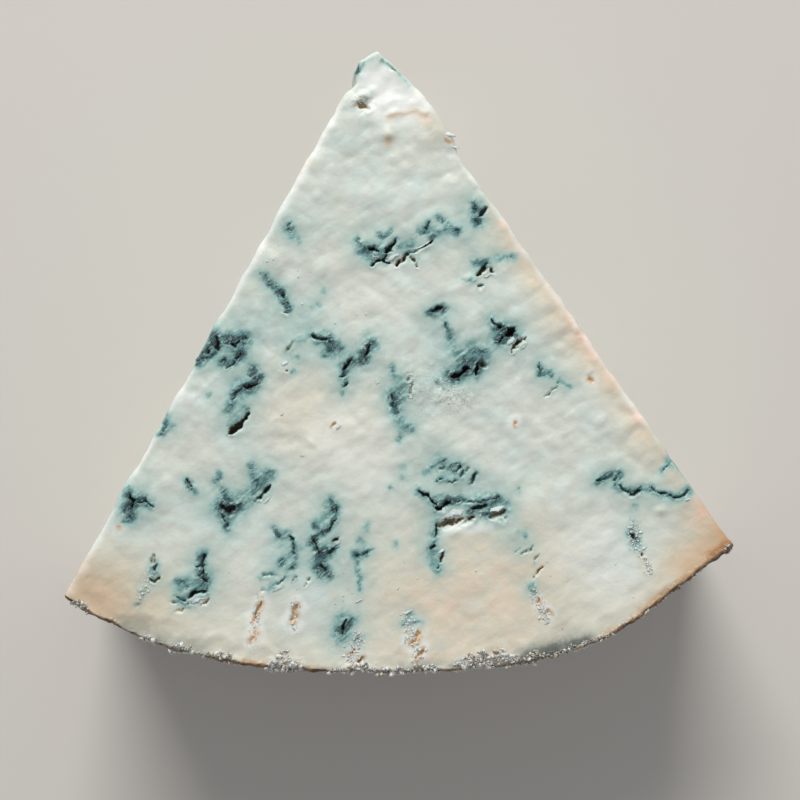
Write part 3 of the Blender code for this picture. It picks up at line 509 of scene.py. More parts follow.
TOP_REACH = (6.0, 22.0)  # how far down the upright faces the upper face's strokes go on
RIND_SCATTER = 900  # crumbs all over the rind
SIDE_VEINS = 30  # further strokes of mould on each upright cut face
UNDER_VEINS = 34
SPOT_SIZE = 0.28
SPOT_STRENGTH = 0.62
MOST_STROKES = 400  # more than there are in any of the tables
STROKE_REACH = 4.0  # half widths from a stroke past which nothing of it is drawn
DARKEST = 1.6  # depth at which a crack's painted shade is black
PINCHING = 0.4  # how unevenly wide cracks are
RAGGEDNESS = 0.75
LIP_HEIGHT = 0.13  # of the paste that stands up below a crack, for each millimetre of its depth
NOSE_DRIFT = 0.9  # how far the nose's creases wander
NARROWEST = 0.15  # half width of the narrowest crack that the mesh can carry
FLAP_STEP = 0.16
FLAP_COLUMNS = 8
CRUMB_FLATNESS = 0.6
DEEPEST_CRUMB = 4.0  # a crumb that falls further below the upper face is left out
HIGH_ABOVE = 80.0  # height from which crumbs are dropped
WELL_OUTSIDE = 120.0  # radius from which crumbs are thrown at the rind
FINE_RELIEF = 0.05
CHIP_HEIGHT = 0.07
GRAIN_HEIGHT = 0.3
DRAG_ANGLE = 36.0  # direction in which the knife dragged the paste, from +X
DRAG_STRETCH = (0.3, 1.0, 1.0)
FLOOR_REACH = 3.0  # in metres
FLOOR_GAP = 0.1


# ---- plan geometry ----


def polar(radius, bearing):
    """Plan position at a radius and bearing from the wheel's axis."""
    angle = math.radians(bearing)
    return radius * math.sin(angle), -radius * math.cos(angle)


def smooth_step(low, high, value):
    share = np.clip((value - low) / (high - low), 0.0, 1.0)
    return share * share * (3.0 - 2.0 * share)


def rind_radius(bearing):
    """The rind is a slightly wavy arc that comes in towards the right corner."""
    swell = RIND_SWELL * np.cos(np.radians(RIND_SWELLS * (bearing - RIND_CREST)))
    return WHEEL_RADIUS + swell - CORNER_LOSS * smooth_step(CORNER_START, CORNER_END, bearing)


def plan_outline():
    """The wedge in plan: the nose, the right corner, the rind's arc and the left corner, clockwise."""
    points = [(across, -down) for across, down in NOSE]
    steps = round((RIGHT_BEARING - LEFT_BEARING) / ARC_STEP)
    for i in range(steps + 1):
        bearing = RIGHT_BEARING + (LEFT_BEARING - RIGHT_BEARING) * i / steps
        points.append(polar(rind_radius(bearing), bearing))
    return np.array(points)


def evenly_spaced(loop, step):
    """Points along a closed loop, about a step apart."""
    closed = np.vstack((loop, loop[:1]))
    lengths = np.linalg.norm(np.diff(closed, axis=0), axis=1)
    travelled = np.concatenate(([0.0], np.cumsum(lengths)))
    count = round(travelled[-1] / step)
    wanted = np.arange(count) * travelled[-1] / count
    return np.column_stack([np.interp(wanted, travelled, closed[:, k]) for k in (0, 1)])


def outward_normals(loop):
    """Outward unit normals of a clockwise loop, smoothed over a few points."""
    along = np.roll(loop, -2, axis=0) - np.roll(loop, 2, axis=0)
    normals = np.column_stack((-along[:, 1], along[:, 0]))
    return normals / np.linalg.norm(normals, axis=1)[:, None]


def well_inside(points, loop, margin):
    """Which points lie inside a clockwise loop, at least a margin from it."""
    normals = outward_normals(loop)
    inside = np.zeros(len(points), bool)
    block = 4000
    for start in range(0, len(points), block):
        gaps = points[start:start + block, None, :] - loop[None, :, :]
        squares = (gaps**2).sum(2)
        nearest = squares.argmin(1)
        rows = np.arange(len(gaps))
        outward = (gaps[rows, nearest] * normals[nearest]).sum(1)
        inside[start:start + block] = (outward < 0.0) & (squares[rows, nearest] > margin**2)
    return inside


def triangular_grid(low, high, step):
    """Points of a triangular grid over a box, and which of them belong to the grid of twice the step."""
    rows = math.ceil((high[1] - low[1]) / (step * math.sqrt(0.75)))
    columns = math.ceil((high[0] - low[0]) / step)
    row, column = np.meshgrid(np.arange(rows + 1), np.arange(-rows // 2 - 1, columns + 1), indexing="ij")
    row, column = row.ravel(), column.ravel()
    x = low[0] + step * (column + row / 2)
    y = low[1] + step * math.sqrt(0.75) * row
    kept = (x >= low[0]) & (x <= high[0])
    coarse = (row % 2 == 0) & (column % 2 == 0)
    return np.column_stack((x, y))[kept], coarse[kept]


# ---- noise and strokes ----

TURN = np.array(((0.36, 0.48, -0.8), (-0.8, 0.6, 0.0), (0.48, 0.64, 0.6)))  # hides the noise's own grid
CELLS = 32


def value_noise(points, size, seed):
    """Smooth noise from -1 to 1 at 3D points, with lumps of about the given size."""
    table = np.random.default_rng(seed).uniform(-1.0, 1.0, (CELLS, CELLS, CELLS))
    place = points @ TURN / size + 100.0
    cell = np.floor(place).astype(int)
    share = place - cell
    share = share * share * (3.0 - 2.0 * share)
    total = np.zeros(len(points))
    for corner in itertools.product((0, 1), repeat=3):
        weight = np.prod(np.where(corner, share, 1.0 - share), axis=1)
        x, y, z = ((cell + corner) % CELLS).T
        total += weight * table[x, y, z]
    return total


def solid_noise(points, size, shift):
    """The noise that shaped the solid, so that the two surfaces agree."""
    return np.array([noise.noise(Vector(p) / size + Vector((shift, 0.0, 0.0))) for p in points])


def dragged(points):
    """Positions turned and squeezed so that noise drawn on them runs the way the knife went."""
    turn = math.radians(DRAG_ANGLE)
    frame_of_drag = np.array(
        ((math.cos(turn), -math.sin(turn), 0.0), (math.sin(turn), math.cos(turn), 0.0), (0.0, 0.0, 1.0))
    )
    return points @ frame_of_drag * DRAG_STRETCH


def shaken(points, size, amount, seed):
    """2D positions moved about by noise, so that whatever is drawn there gets a torn outline."""
    flat = points[:, :2].copy()
    flat[:, 0] += amount * value_noise(points, size, seed)
    flat[:, 1] += amount * value_noise(points, size, seed + 1)
    return flat


def shaken_twice(points, coarse, fine):
    """2D positions shaken by two noises, each (size, amount, seed)."""
    return shaken(points, *coarse) + (shaken(points, *fine) - points[:, :2])


def nearest_on_path(points, path):
    """For 2D points: distance to a path, share of the way along it, and how squarely below it."""
    travelled = np.concatenate(([0.0], np.cumsum(np.linalg.norm(np.diff(path, axis=0), axis=1))))
    away = np.full(len(points), np.inf)
    share = np.full(len(points), 0.5)
    below = np.zeros(len(points))
    for start, end, begun in zip(path, path[1:], travelled):
        along = end - start
        part = np.clip((points - start) @ along / (along @ along), 0.0, 1.0)
        gap = points - start - part[:, None] * along
        distance = np.linalg.norm(gap, axis=1)
        closer = distance < away
        away[closer] = distance[closer]
        share[closer] = (begun + part[closer] * np.linalg.norm(along)) / travelled[-1]
        below[closer] = -gap[closer, 1] / np.maximum(distance[closer], 1e-6)
    if len(path) == 1:
        away = np.linalg.norm(points - path[0], axis=1)
    return away, share, below


def near_path(flat, path, reach):
    """Indices of the 2D points within reach of a path, with what nearest_on_path says of them."""
    path = np.asarray(path, float)
    low, high = path.min(0) - reach, path.max(0) + reach
    near = np.flatnonzero(np.all((flat >= low) & (flat <= high), axis=1))
    found = nearest_on_path(flat[near], path)
    close = found[0] < reach
    return near[close], *(values[close] for values in found)


def in_plan(path):
    """A path of (across, down) points as (x, y)."""
    return [(across, -down) for across, down in path]


def planned(strokes):
    return [(size, strength, in_plan(path)) for size, strength, path in strokes]


# How a stroke fades with the distance from its middle, in half widths.


def soft(away):
    return 1.0 - smooth_step(0.0, 2.2, away)


def firm(away):
    return 1.0 - smooth_step(0.5, 1.9, away)


def crisp(away):
    return 1.0 - smooth_step(0.7, 1.35, away)


def bleeding(away):
    """Strongest in the middle, then fading a long way out."""
    return 0.6 * np.exp(-((away / 1.05) ** 2)) + 0.4 * np.exp(-((away / 2.5) ** 2))


def sheer(away):
    return 1.0 - smooth_step(0.1, 1.2, away)


def steep(away):
    return 1.0 - smooth_step(0.35, 1.0, away)


def lip(away):
    """A narrow band along both sides of a stroke."""
    return np.exp(-(((away - 1.7) / 0.7) ** 2))


def taper(share):
    """Width of a crack along its way: thin at both ends."""
    return 0.3 + 0.7 * np.clip(4.0 * share * (1.0 - share), 0.0, 1.0) ** 0.6


def blend_strokes(field, flat, strokes, shape, fade):
    """Adds strokes to a field of values from 0 to 1."""
    for number, (size, strength, path) in enumerate(strokes):
        near, away, _, _ = near_path(flat, path, STROKE_REACH * size)
        value = strength * shape(away / size) * fade(number, near)
        field[near] = 1.0 - (1.0 - field[near]) * (1.0 - value)


def carve_strokes(surface, flat, strokes, lean, fade):
    """Ragged cracks, steep above and sloping by a lean below, where the lip stands up, with painted shade
    inside them.
    """
    for number, (size, deep, path) in enumerate(strokes):
        near, away, share, below = near_path(flat, path, STROKE_REACH * size + 0.6)
        width = np.maximum(size, NARROWEST) * taper(share) * (1.0 + PINCHING * surface.pinched[near])
        width *= 1.0 + lean * np.maximum(below, 0.0)
        reach = away / width + RAGGEDNESS * surface.ragged[near]
        shown = fade(number, near)
        # painted shade in the crack: dark in its middle, reaching less far over the lit slope below it
        shaded = steep(reach * (1.0 + lean * np.maximum(below, 0.0))) * shown
        surface.crack_shade[near] = np.maximum(surface.crack_shade[near], min(deep / DARKEST, 1.0) * shaded)
        surface.depth[near] = np.maximum(surface.depth[near], deep * sheer(reach) * shown)
        raised = LIP_HEIGHT * min(deep, 1.5) * lip(away / width) * np.maximum(below, 0.0) * shown
        surface.raised[near] = np.maximum(surface.raised[near], raised)


def side_paths(rng):
    """Paths of (radius, height) on an upright cut face, as in the solid."""
    paths = []
    for i in range(SIDE_GASHES):
        radius = GASHES_FROM + GASHES_OVER * (i + rng.random()) / SIDE_GASHES
        height = rng.uniform(GASH_MARGIN, THICKNESS - GASH_MARGIN)
        heading = rng.choice((0.0, 0.0, 70.0, 110.0)) + rng.uniform(-25.0, 25.0)
        path = [(radius, height)]
        for _ in range(rng.randint(2, 4)):
            length = rng.uniform(1.5, 3.0)
            heading += rng.uniform(-35.0, 35.0)
            radius += length * math.cos(math.radians(heading))
            height += length * math.sin(math.radians(heading))
            path.append((radius, height))
        paths.append(path)
    return paths


def side_gashes(seed):
    """The solid's gashes of one upright cut face: (half width, depth, path)."""
    rng = random.Random(seed)
    gashes = []
    for path in side_paths(rng):
        depth = rng.uniform(0.9, 1.8)
        half_width = rng.uniform(0.6, 1.1)
        gashes.append((half_width, depth, path))
    return gashes


def wandering_veins(rng, count, start):
    """Random strokes of mould, each beginning where start() says: (half width, strength, path)."""
    veins = []
    for _ in range(count):
        x, y = start(rng)
        heading = rng.uniform(0.0, 360.0)
        path = [(x, y)]
        for _ in range(rng.randint(1, 5)):
            length = rng.uniform(0.7, 2.4)
            heading += rng.uniform(-60.0, 60.0)
            x += length * math.cos(math.radians(heading))
            y += length * math.sin(math.radians(heading))
            path.append((x, y))
        veins.append((rng.uniform(0.22, 0.7), rng.uniform(0.5, 0.95), path))
    return veins


# ---- the wedge's mesh ----


def lid(outline, rings, grid):
    """A flat triangulated face: its points, those of the outline first, and its triangles."""
    normals = outward_normals(outline)
    points = np.vstack([outline] + [outline - gap * normals for gap in rings] + [grid])
    count = len(outline)
    border = [(i, (i + 1) % count) for i in range(count)]
    flat = [Vector(p) for p in points]
    made, _, faces, _, _, _ = geometry.delaunay_2d_cdt(flat, border, [list(range(count))], 1, 1e-5)
    return np.array([tuple(p) for p in made]), np.array(faces)


def top_points(outline):
    """Grid points of the upper face, closer together near its cracks and veins."""
    low, high = outline.min(0), outline.max(0)
    grid, coarse = triangular_grid(low, high, FINE_STEP)
    wanted = coarse.copy()
    for strokes, margin in FINE_AROUND:
        for size, _, path in strokes:
            near, *_ = near_path(grid, in_plan(path), size + margin)
            wanted[near] = True
    grid = grid[wanted]
    grid = grid[well_inside(grid, outline, TOP_RINGS[-1] + 0.25)]
    return grid + np.random.default_rng(1).uniform(-0.2, 0.2, grid.shape) * FINE_STEP


def under_points(outline):
    grid, _ = triangular_grid(outline.min(0), outline.max(0), UNDER_STEP)
    return grid[well_inside(grid, outline, LOW_RINGS[-1] + 0.5)]


def edge_drop(gap, radius):
    """How far a rounded edge has dropped at a distance in from its outline."""
    return radius - math.sqrt(max(0.0, radius**2 - (radius - min(gap, radius)) ** 2))


def wedge_shell():
    """Points and faces of the plain wedge with rounded edges."""
    outline = evenly_spaced(plan_outline(), RIM_STEP)
    count = len(outline)
    rows = round((THICKNESS - TOP_EDGE - LOW_EDGE) / ROW_STEP)
    heights = np.linspace(LOW_EDGE, THICKNESS - TOP_EDGE, rows + 1)
    points = [np.column_stack((outline, np.full(count, height))) for height in heights]
    faces = []
    for row in range(rows):
        for i in range(count):
            j = (i + 1) % count
            faces.append((row * count + i, (row + 1) * count + i, (row + 1) * count + j, row * count + j))

    for rings, grid, level, radius, first in (
        (TOP_RINGS, top_points(outline), THICKNESS, TOP_EDGE, rows * count),
        (LOW_RINGS, under_points(outline), 0.0, LOW_EDGE, 0),
    ):
        flat, triangles = lid(outline, rings, grid)
        drops = np.zeros(len(flat))
        for number, gap in enumerate(rings, start=1):
            drops[number * count:(number + 1) * count] = edge_drop(gap, radius)
        upward = level > 0.0
        height = level - drops if upward else level + drops
        base = sum(len(p) for p in points)
        points.append(np.column_stack((flat, height))[count:])
        triangles = np.where(triangles < count, triangles + first, triangles - count + base)
        faces += [tuple(t) if upward else tuple(t[::-1]) for t in triangles.tolist()]
    return np.vstack(points), faces


def mesh_from(name, points, faces):
    mesh = bpy.data.meshes.new(name)
    mesh.from_pydata(points.tolist(), [], faces)
    mesh.update()
    return mesh


def vertex_array(mesh, attribute):
    values = np.empty(len(mesh.vertices) * 3)
    mesh.vertices.foreach_get(attribute, values)
    return values.reshape(-1, 3)


# ---- fields over the surface ----

# The colours that the surface carries, each from 0 to 1. The shader mixes them.
# Among these fields, one is painted shade in the cracks, the tan one also carries painted shadows and the
# white one also carries painted highlights.
FIELDS = (
    "haze", "mould", "core", "white", "rust", "warm", "toast_and_shade", "grain", "crust", "mildew", "powder", "crack_shade",
)


class Surface:
    """The plain wedge's points, and the fields of colour and relief over them."""

    def __init__(self, points):
        self.points = points
        self.below = THICKNESS - points[:, 2]
        self.radius = np.linalg.norm(points[:, :2], axis=1)
        self.bearing = np.degrees(np.arctan2(points[:, 0], -points[:, 1]))
        self.rind_depth = rind_radius(self.bearing) - self.radius
        self.rough = solid_noise(points, 1.6, 3.0)
        self.ragged = value_noise(dragged(points), 0.55, seed=9)
        self.ragged += 0.7 * value_noise(points, 0.36, seed=10)
        self.pinched = value_noise(points, 1.4, seed=8)
        self.colour = {name: np.zeros(len(points)) for name in FIELDS}
        self.depth = np.zeros(len(points))
        # painted shade in the cracks
        self.crack_shade = np.zeros(len(points))
        self.raised = np.zeros(len(points))

    def top_fade(self, seed):
        """How strongly each of the upper face's strokes still shows at a point on an upright face."""
        rng = random.Random(seed)
        reaches = [rng.uniform(*TOP_REACH) for _ in range(MOST_STROKES)]

        def fade(number, near):
            reach = reaches[number]
            return 1.0 - smooth_step(0.3 * reach, reach, self.below[near])

        return fade

    def draw(self, name, flat, strokes, shape, fade):
        blend_strokes(self.colour[name], flat, strokes, shape, fade)

    def at_least(self, name, value):
        """Raises a field to a value where it is lower."""
        self.colour[name] = np.maximum(self.colour[name], value)


def draw_top(surface):
    """The upper face's strokes, which go on a little way down the upright faces as wandering curtains."""
    wander = surface.points.copy()
    drift = np.column_stack([value_noise(wander * (0.2, 0.2, 1.0), 7.0, seed) for seed in (61, 62)])
    wander[:, :2] += 3.0 * smooth_step(0.0, 6.0, surface.below)[:, None] * drift
    torn = shaken_twice(wander, (1.5, 0.26, 21), (0.6, 0.2, 31))
    cracked = shaken_twice(wander, (1.0, 0.28, 21), (0.45, 0.16, 31))
    cloudy = shaken(wander, 4.0, 1.3, seed=41)
    feathery = shaken(wander, 1.8, 0.6, seed=43)

    mould, slits, gashes = planned(MOULD), planned(SLITS), planned(GASHES)
    mould += [(SPOT_SIZE, SPOT_STRENGTH, in_plan([spot])) for spot in SPOTS]
    bloom = [(1.3 + 1.8 * size, 0.34 * strength, path) for size, strength, path in mould]
    stain = [(1.1 * size + 0.1, 0.74 * strength, path) for size, strength, path in mould]
    strong = [stroke for stroke in mould if stroke[1] > 0.65]
    heart = [(1.05 * size, 1.5 * strength - 0.8, path) for size, strength, path in strong]
    slit_stain = [(size + 0.08, 0.26, path) for size, _, path in slits]
    slit_heart = [(1.6 * size, 0.4, path) for size, _, path in slits if size > 0.18]
    rust = [(1.3 * size, 1.0, path) for size, _, path in gashes]
    rust_lip = [(2.4 * size, 0.5, path) for size, _, path in gashes]
    powdered = [(spread, 0.6, in_plan(path)) for spread, _, _, path in PASTE_CRUMBS if spread < 1.7]
    for name, flat, strokes, shape, seed in (
        ("haze", cloudy, planned(HAZE), soft, 1),
        ("haze", feathery, bloom, soft, 2),
        ("mould", torn, stain, bleeding, 2),
        ("mould", torn, slit_stain, bleeding, 3),
        ("core", torn, heart, firm, 2),
        ("core", torn, slit_heart, crisp, 3),
        ("rust", torn, rust, firm, 4),
        ("white", torn, rust_lip, lip, 4),
        # whiter paste, and painted highlights on the cut edges and a lit slope
        ("white", feathery, planned(WHITE), firm, 5),
        ("powder", torn, powdered, soft, 5),
        ("warm", cloudy, planned(WARM), soft, 6),
        ("grain", torn, planned(GRAIN), firm, 8),
        # tan paste, with painted shadows under a splinter and a lump
        ("toast_and_shade", feathery, planned(TAN_AND_PAINTED_SHADOW), soft, 7),
    ):
        surface.draw(name, flat, strokes, shape, surface.top_fade(seed))
    surface.at_least("white", 0.35 * chips(surface.points))

    carve_strokes(surface, cracked, slits, 0.5, surface.top_fade(3))
    mouldy_crack_shade = surface.crack_shade.copy()
    carve_strokes(surface, cracked, planned(GAPS), 0.9, surface.top_fade(4))
    # clean cracks lose their mould, so that their painted shade comes out brown
    for name in ("mould", "core", "haze"):
        surface.colour[name] *= 1.0 - np.clip(1.5 * (surface.crack_shade - mouldy_crack_shade), 0.0, 1.0)
    carve_strokes(surface, cracked, gashes, 0.3, surface.top_fade(5))
    fade = surface.top_fade(9)
    for number, (size, height, path) in enumerate(planned(BUMPS)):
        near, away, _, _ = near_path(torn, path, 2.5 * size)
        lifted = 0.6 * height * firm(away / size + 0.4 * surface.ragged[near]) * fade(number, near)
        surface.raised[near] = np.maximum(surface.raised[near], lifted)


def draw_side(surface, bearing, seed):
    """Gashes and veins of one upright cut face."""
    angle = math.radians(bearing)
    outward = np.array((math.cos(angle), math.sin(angle)))
    along = np.array((math.sin(angle), -math.cos(angle)))
    on_face = 1.0 - smooth_step(0.6, 1.6, np.abs(surface.points[:, :2] @ outward))
    face = np.column_stack((surface.points[:, :2] @ along, surface.points[:, 2], np.zeros(len(on_face))))
    torn = shaken_twice(face, (1.5, 0.32, 71), (0.55, 0.14, 81))
    cloudy = shaken(face, 4.0, 1.3, seed=91)

    def fade(_, near):
        return on_face[near]

    def start(rng):
        return rng.uniform(10.0, 92.0), rng.uniform(4.0, THICKNESS - 4.0)

    gashes = side_gashes(seed)
    veins = wandering_veins(random.Random(seed + 100), SIDE_VEINS, start)
    veins += [(1.5 * size, 0.95, path) for size, _, path in gashes]
    bloom = [(3.0 * size + 0.8, 0.4, path) for size, _, path in veins]
    stain = [(size, 0.75 * strength, path) for size, strength, path in veins]
    heart = [(0.7 * size, 2.0 * strength - 1.0, path) for size, strength, path in veins if strength > 0.7]
    surface.draw("haze", cloudy, bloom, soft, fade)
    surface.draw("mould", torn, stain, bleeding, fade)
    surface.draw("core", torn, heart, crisp, fade)
    carve_strokes(surface, torn, [(0.8 * size, deep, path) for size, deep, path in gashes], 0.4, fade)
    small = [(0.45 * size, 0.9, path[:3]) for size, _, path in veins[:SIDE_VEINS:2]]
    carve_strokes(surface, torn, small, 0.3, fade)


def draw_underside(surface):
    """Veins of the face that the wedge lies on. It stays flat."""
    low = 1.0 - smooth_step(0.2, 1.2, surface.points[:, 2])

    def fade(_, near):
        return low[near]

    def start(rng):
        radius = WHEEL_RADIUS * math.sqrt(rng.uniform(0.02, 0.85))
        return polar(radius, rng.uniform(LEFT_BEARING, RIGHT_BEARING))

    veins = wandering_veins(random.Random(5), UNDER_VEINS, start)
    veins = [(size + 0.5, strength, path) for size, strength, path in veins]
    torn = shaken(surface.points, 2.0, 0.6, seed=51)
    surface.draw("mould", torn, veins, bleeding, fade)
    surface.draw("haze", torn, [(3.0 * size, 0.4, path) for size, _, path in veins], soft, fade)


def band(surface, first, last, inward, run_out=0.8):
    """1 on a stretch of the rind, fading to 0 at a distance in and over some degrees at its ends."""
    bearing = surface.bearing + 0.5 * surface.pinched
    ends = smooth_step(first - run_out, first + run_out, bearing)
    ends *= 1.0 - smooth_step(last - run_out, last + run_out, bearing)
    inset = surface.rind_depth + 0.25 * min(inward, 1.6) * surface.ragged
    return ends * (1.0 - smooth_step(0.0, inward, inset))


def draw_rind(surface):
    """A thin brown crust with patches of mould, over paste that is warmer or greyer in places."""
    grain = value_noise(surface.points, 1.3, seed=11)
    tan = np.maximum.reduce([band(surface, first, last, 3.0) for first, last, _, _ in RIND_GLOW])
    inset = surface.rind_depth + 0.25 * grain - 0.35 * tan
    surface.colour["crust"] = 1.0 - smooth_step(0.05, 0.5, inset)
    wavy_depth = surface.rind_depth + 1.5 * value_noise(surface.points, 5.0, seed=12)
    warmth = 0.45 * (1.0 - smooth_step(1.0, 9.0, wavy_depth))
    surface.colour["warm"] = 1.0 - (1.0 - surface.colour["warm"]) * (1.0 - warmth)
    for first, last, inward, strength in RIND_GLOW:
        surface.at_least("toast_and_shade", strength * band(surface, first, last, inward))
    for first, last, inward, strength in RIND_MILDEW:
        surface.at_least("mildew", strength * band(surface, first, last, inward, 2.5) ** 2)
    for first, last, inward, _, whiteness in RIND_CRUMBS:
        covered = 0.9 * band(surface, first, last, inward)
        surface.at_least("crust", covered)
        surface.at_least("powder", whiteness * covered)

    low = smooth_step(0.8, 5.0, surface.below + 1.5 * surface.pinched)
    on_rind = surface.rind_depth < 0.5
    for number, (name, size, strength) in enumerate(RIND_PATCHES):
        patches = value_noise(surface.points, size, seed=25 + number)
        patches += 0.4 * value_noise(surface.points, 0.3 * size, seed=35 + number)
        patches = strength * smooth_step(-0.1, 0.5, patches) * on_rind
        surface.colour[name] += low * (patches - surface.colour[name])
    corner = polar(rind_radius(RIGHT_BEARING), RIGHT_BEARING)
    away = np.hypot(*(surface.points[:, :2] - corner).T)
    glow = 0.9 * (1.0 - smooth_step(0.0, 5.0, away + surface.pinched)) * (1.0 - low)
    surface.at_least("toast_and_shade", glow)


def needle_holes(surface):
    """Depth of the maturing needles' holes in the rind, as in the solid."""
    holes = np.zeros(len(surface.points))
    for height, centre in itertools.product(NEEDLE_ROWS, NEEDLE_BEARINGS):
        across = np.radians(surface.bearing - centre) * WHEEL_RADIUS
        away = np.hypot(across, surface.points[:, 2] - height) + 0.2 * surface.rough
        hole = NEEDLE_HOLE_DEPTH * (1.0 - smooth_step(0.4, NEEDLE_HOLE_RADIUS, away))
        holes = np.maximum(holes, hole)
    return holes


def tear_up(surface):
    """Torn plates where the paste is mouldy: they stand up and stay paler than what lies between them."""
    stretched = dragged(surface.points)
    plates = value_noise(stretched, 0.9, seed=23) + 0.5 * value_noise(stretched, 0.45, seed=26)
    plates = smooth_step(-0.05, 0.2, plates)
    mouldy = smooth_step(0.2, 0.6, surface.colour["mould"])
    surface.colour["mould"] *= 1.0 - 0.35 * plates
    surface.colour["core"] *= 1.0 - 0.75 * plates
    return mouldy * (0.24 * plates - 0.14 + 0.14 * value_noise(surface.points, 0.45, seed=16))


def lumps(points):
    """The broad unevenness of the cut paste."""
    curds = np.abs(value_noise(points, 3.4, seed=13)) + 0.5 * np.abs(value_noise(points, 1.9, seed=12))
    curds *= 0.3 - 0.16 * smooth_step(62.0, 82.0, -points[:, 1])
    return LUMP_HEIGHT * solid_noise(points, LUMP_SIZE, 5.0) + curds - 0.12


def chips(points):
    """Small flakes of paste that the knife has smeared over the cut."""
    flakes = smooth_step(0.45, 0.6, value_noise(dragged(points), 0.7, seed=27))
    flakes *= 1.0 - smooth_step(55.0, 75.0, -points[:, 1])
    return flakes * smooth_step(-0.1, 0.5, value_noise(points, 8.0, seed=28))


def relief(surface):
    """Height of the surface over the plain wedge."""
    points = surface.points
    height = lumps(points) + FINE_RELIEF * value_noise(points, 1.6, seed=14)
    height += FINE_RELIEF * value_noise(dragged(points), 1.0, seed=15)
    height += CHIP_HEIGHT * chips(points)
    height += tear_up(surface)
    height += GRAIN_HEIGHT * surface.colour["grain"] * np.abs(value_noise(points, 0.8, seed=17))
    height += surface.raised * (1.0 + 0.5 * value_noise(points, 0.8, seed=18))
    height -= surface.depth

    on_rind = smooth_step(WHEEL_RADIUS - 4.5, WHEEL_RADIUS - 3.0, surface.radius)
    crust = CRUST_HEIGHT * (0.5 - 2.0 * np.abs(solid_noise(points, CRUST_SIZE, 11.0)))
    crust *= 0.4 + 0.6 * smooth_step(0.0, 3.0, surface.below)
    crust += 0.22 * (0.5 - 2.0 * np.abs(value_noise(points, 1.5, seed=19))) * surface.colour["crust"]
    crust += 0.12 * value_noise(points, 0.6, seed=20) * surface.colour["crust"]
    height += (crust - needle_holes(surface)) * on_rind
    return height * smooth_step(0.0, 1.5, points[:, 2])


def nose_drift(surface):
    """Moves the broken nose about, more lower down, so that its creases aren't straight."""
    share = NOSE_DRIFT * smooth_step(0.5, 8.0, surface.below)
    share *= 1.0 - smooth_step(10.0, 30.0, surface.radius)
    moves = [share * value_noise(surface.points * (0.3, 0.3, 1.0), 6.0, seed) for seed in (63, 64)]
    return np.column_stack((*moves, np.zeros(len(share))))


def in_part(points):
    """Millimetres in the wheel's frame to metres in the part's frame."""
    return (points + (*AXIS_IN_PART, 0.0)) * MM


def set_fields(mesh, fields):
    for name in FIELDS:
        values = np.broadcast_to(fields.get(name, 0.0), len(mesh.vertices)).astype(np.float32)
        mesh.attributes.new(name, "FLOAT", "POINT").data.foreach_set("value", values)


def add_piece(name, mesh, material):
    """Puts a mesh in the scene as a piece that rides on the wedge's body."""
    mesh.materials.append(material)
    mesh.shade_smooth()
    piece = bpy.data.objects.new(name, mesh)
    bpy.context.scene.collection.objects.link(piece)
    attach(piece, "root")
    return piece


def build_wedge(material):
    points, faces = wedge_shell()
    mesh = mesh_from("wedge", points, faces)
    surface = Surface(points)
    draw_top(surface)
    draw_side(surface, LEFT_BEARING, SIDE_SEED)
    draw_side(surface, RIGHT_BEARING, SIDE_SEED + 1)
    draw_underside(surface)
    draw_rind(surface)
    moved = points + vertex_array(mesh, "normal") * relief(surface)[:, None] + nose_drift(surface)
    moved[:, 2] = np.maximum(moved[:, 2], 0.0)
    tree = bvhtree.BVHTree.FromPolygons(moved.tolist(), faces)
    mesh.vertices.foreach_set("co", in_part(moved).ravel())
    # painted shade in the cracks, from 0 to 1
    surface.colour["crack_shade"] = np.clip(surface.crack_shade, 0.0, 1.0)
    set_fields(mesh, surface.colour)
    mesh.update()
    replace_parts(add_piece("stilton_paste", mesh, material), "stilton_wedge")
    return tree


# ---- loose bits ----


class Bits:
    """Many small closed meshes gathered into one, with their fields."""

    def __init__(self):
        self.points = []
        self.faces = []
        self.fields = {name: [] for name in FIELDS}

    def add(self, points, faces, **fields):
        base = sum(len(p) for p in self.points)
        self.points.append(points)
        self.faces += [tuple(base + i for i in face) for face in faces]
        for name in FIELDS:
            self.fields[name].append(np.broadcast_to(fields.get(name, 0.0), len(points)))

    def build(self, name, material):
        points = np.vstack(self.points)
        mesh = mesh_from(name, in_part(points), self.faces)
        set_fields(mesh, {key: np.concatenate(values) for key, values in self.fields.items()})
        return add_piece(name, mesh, material)


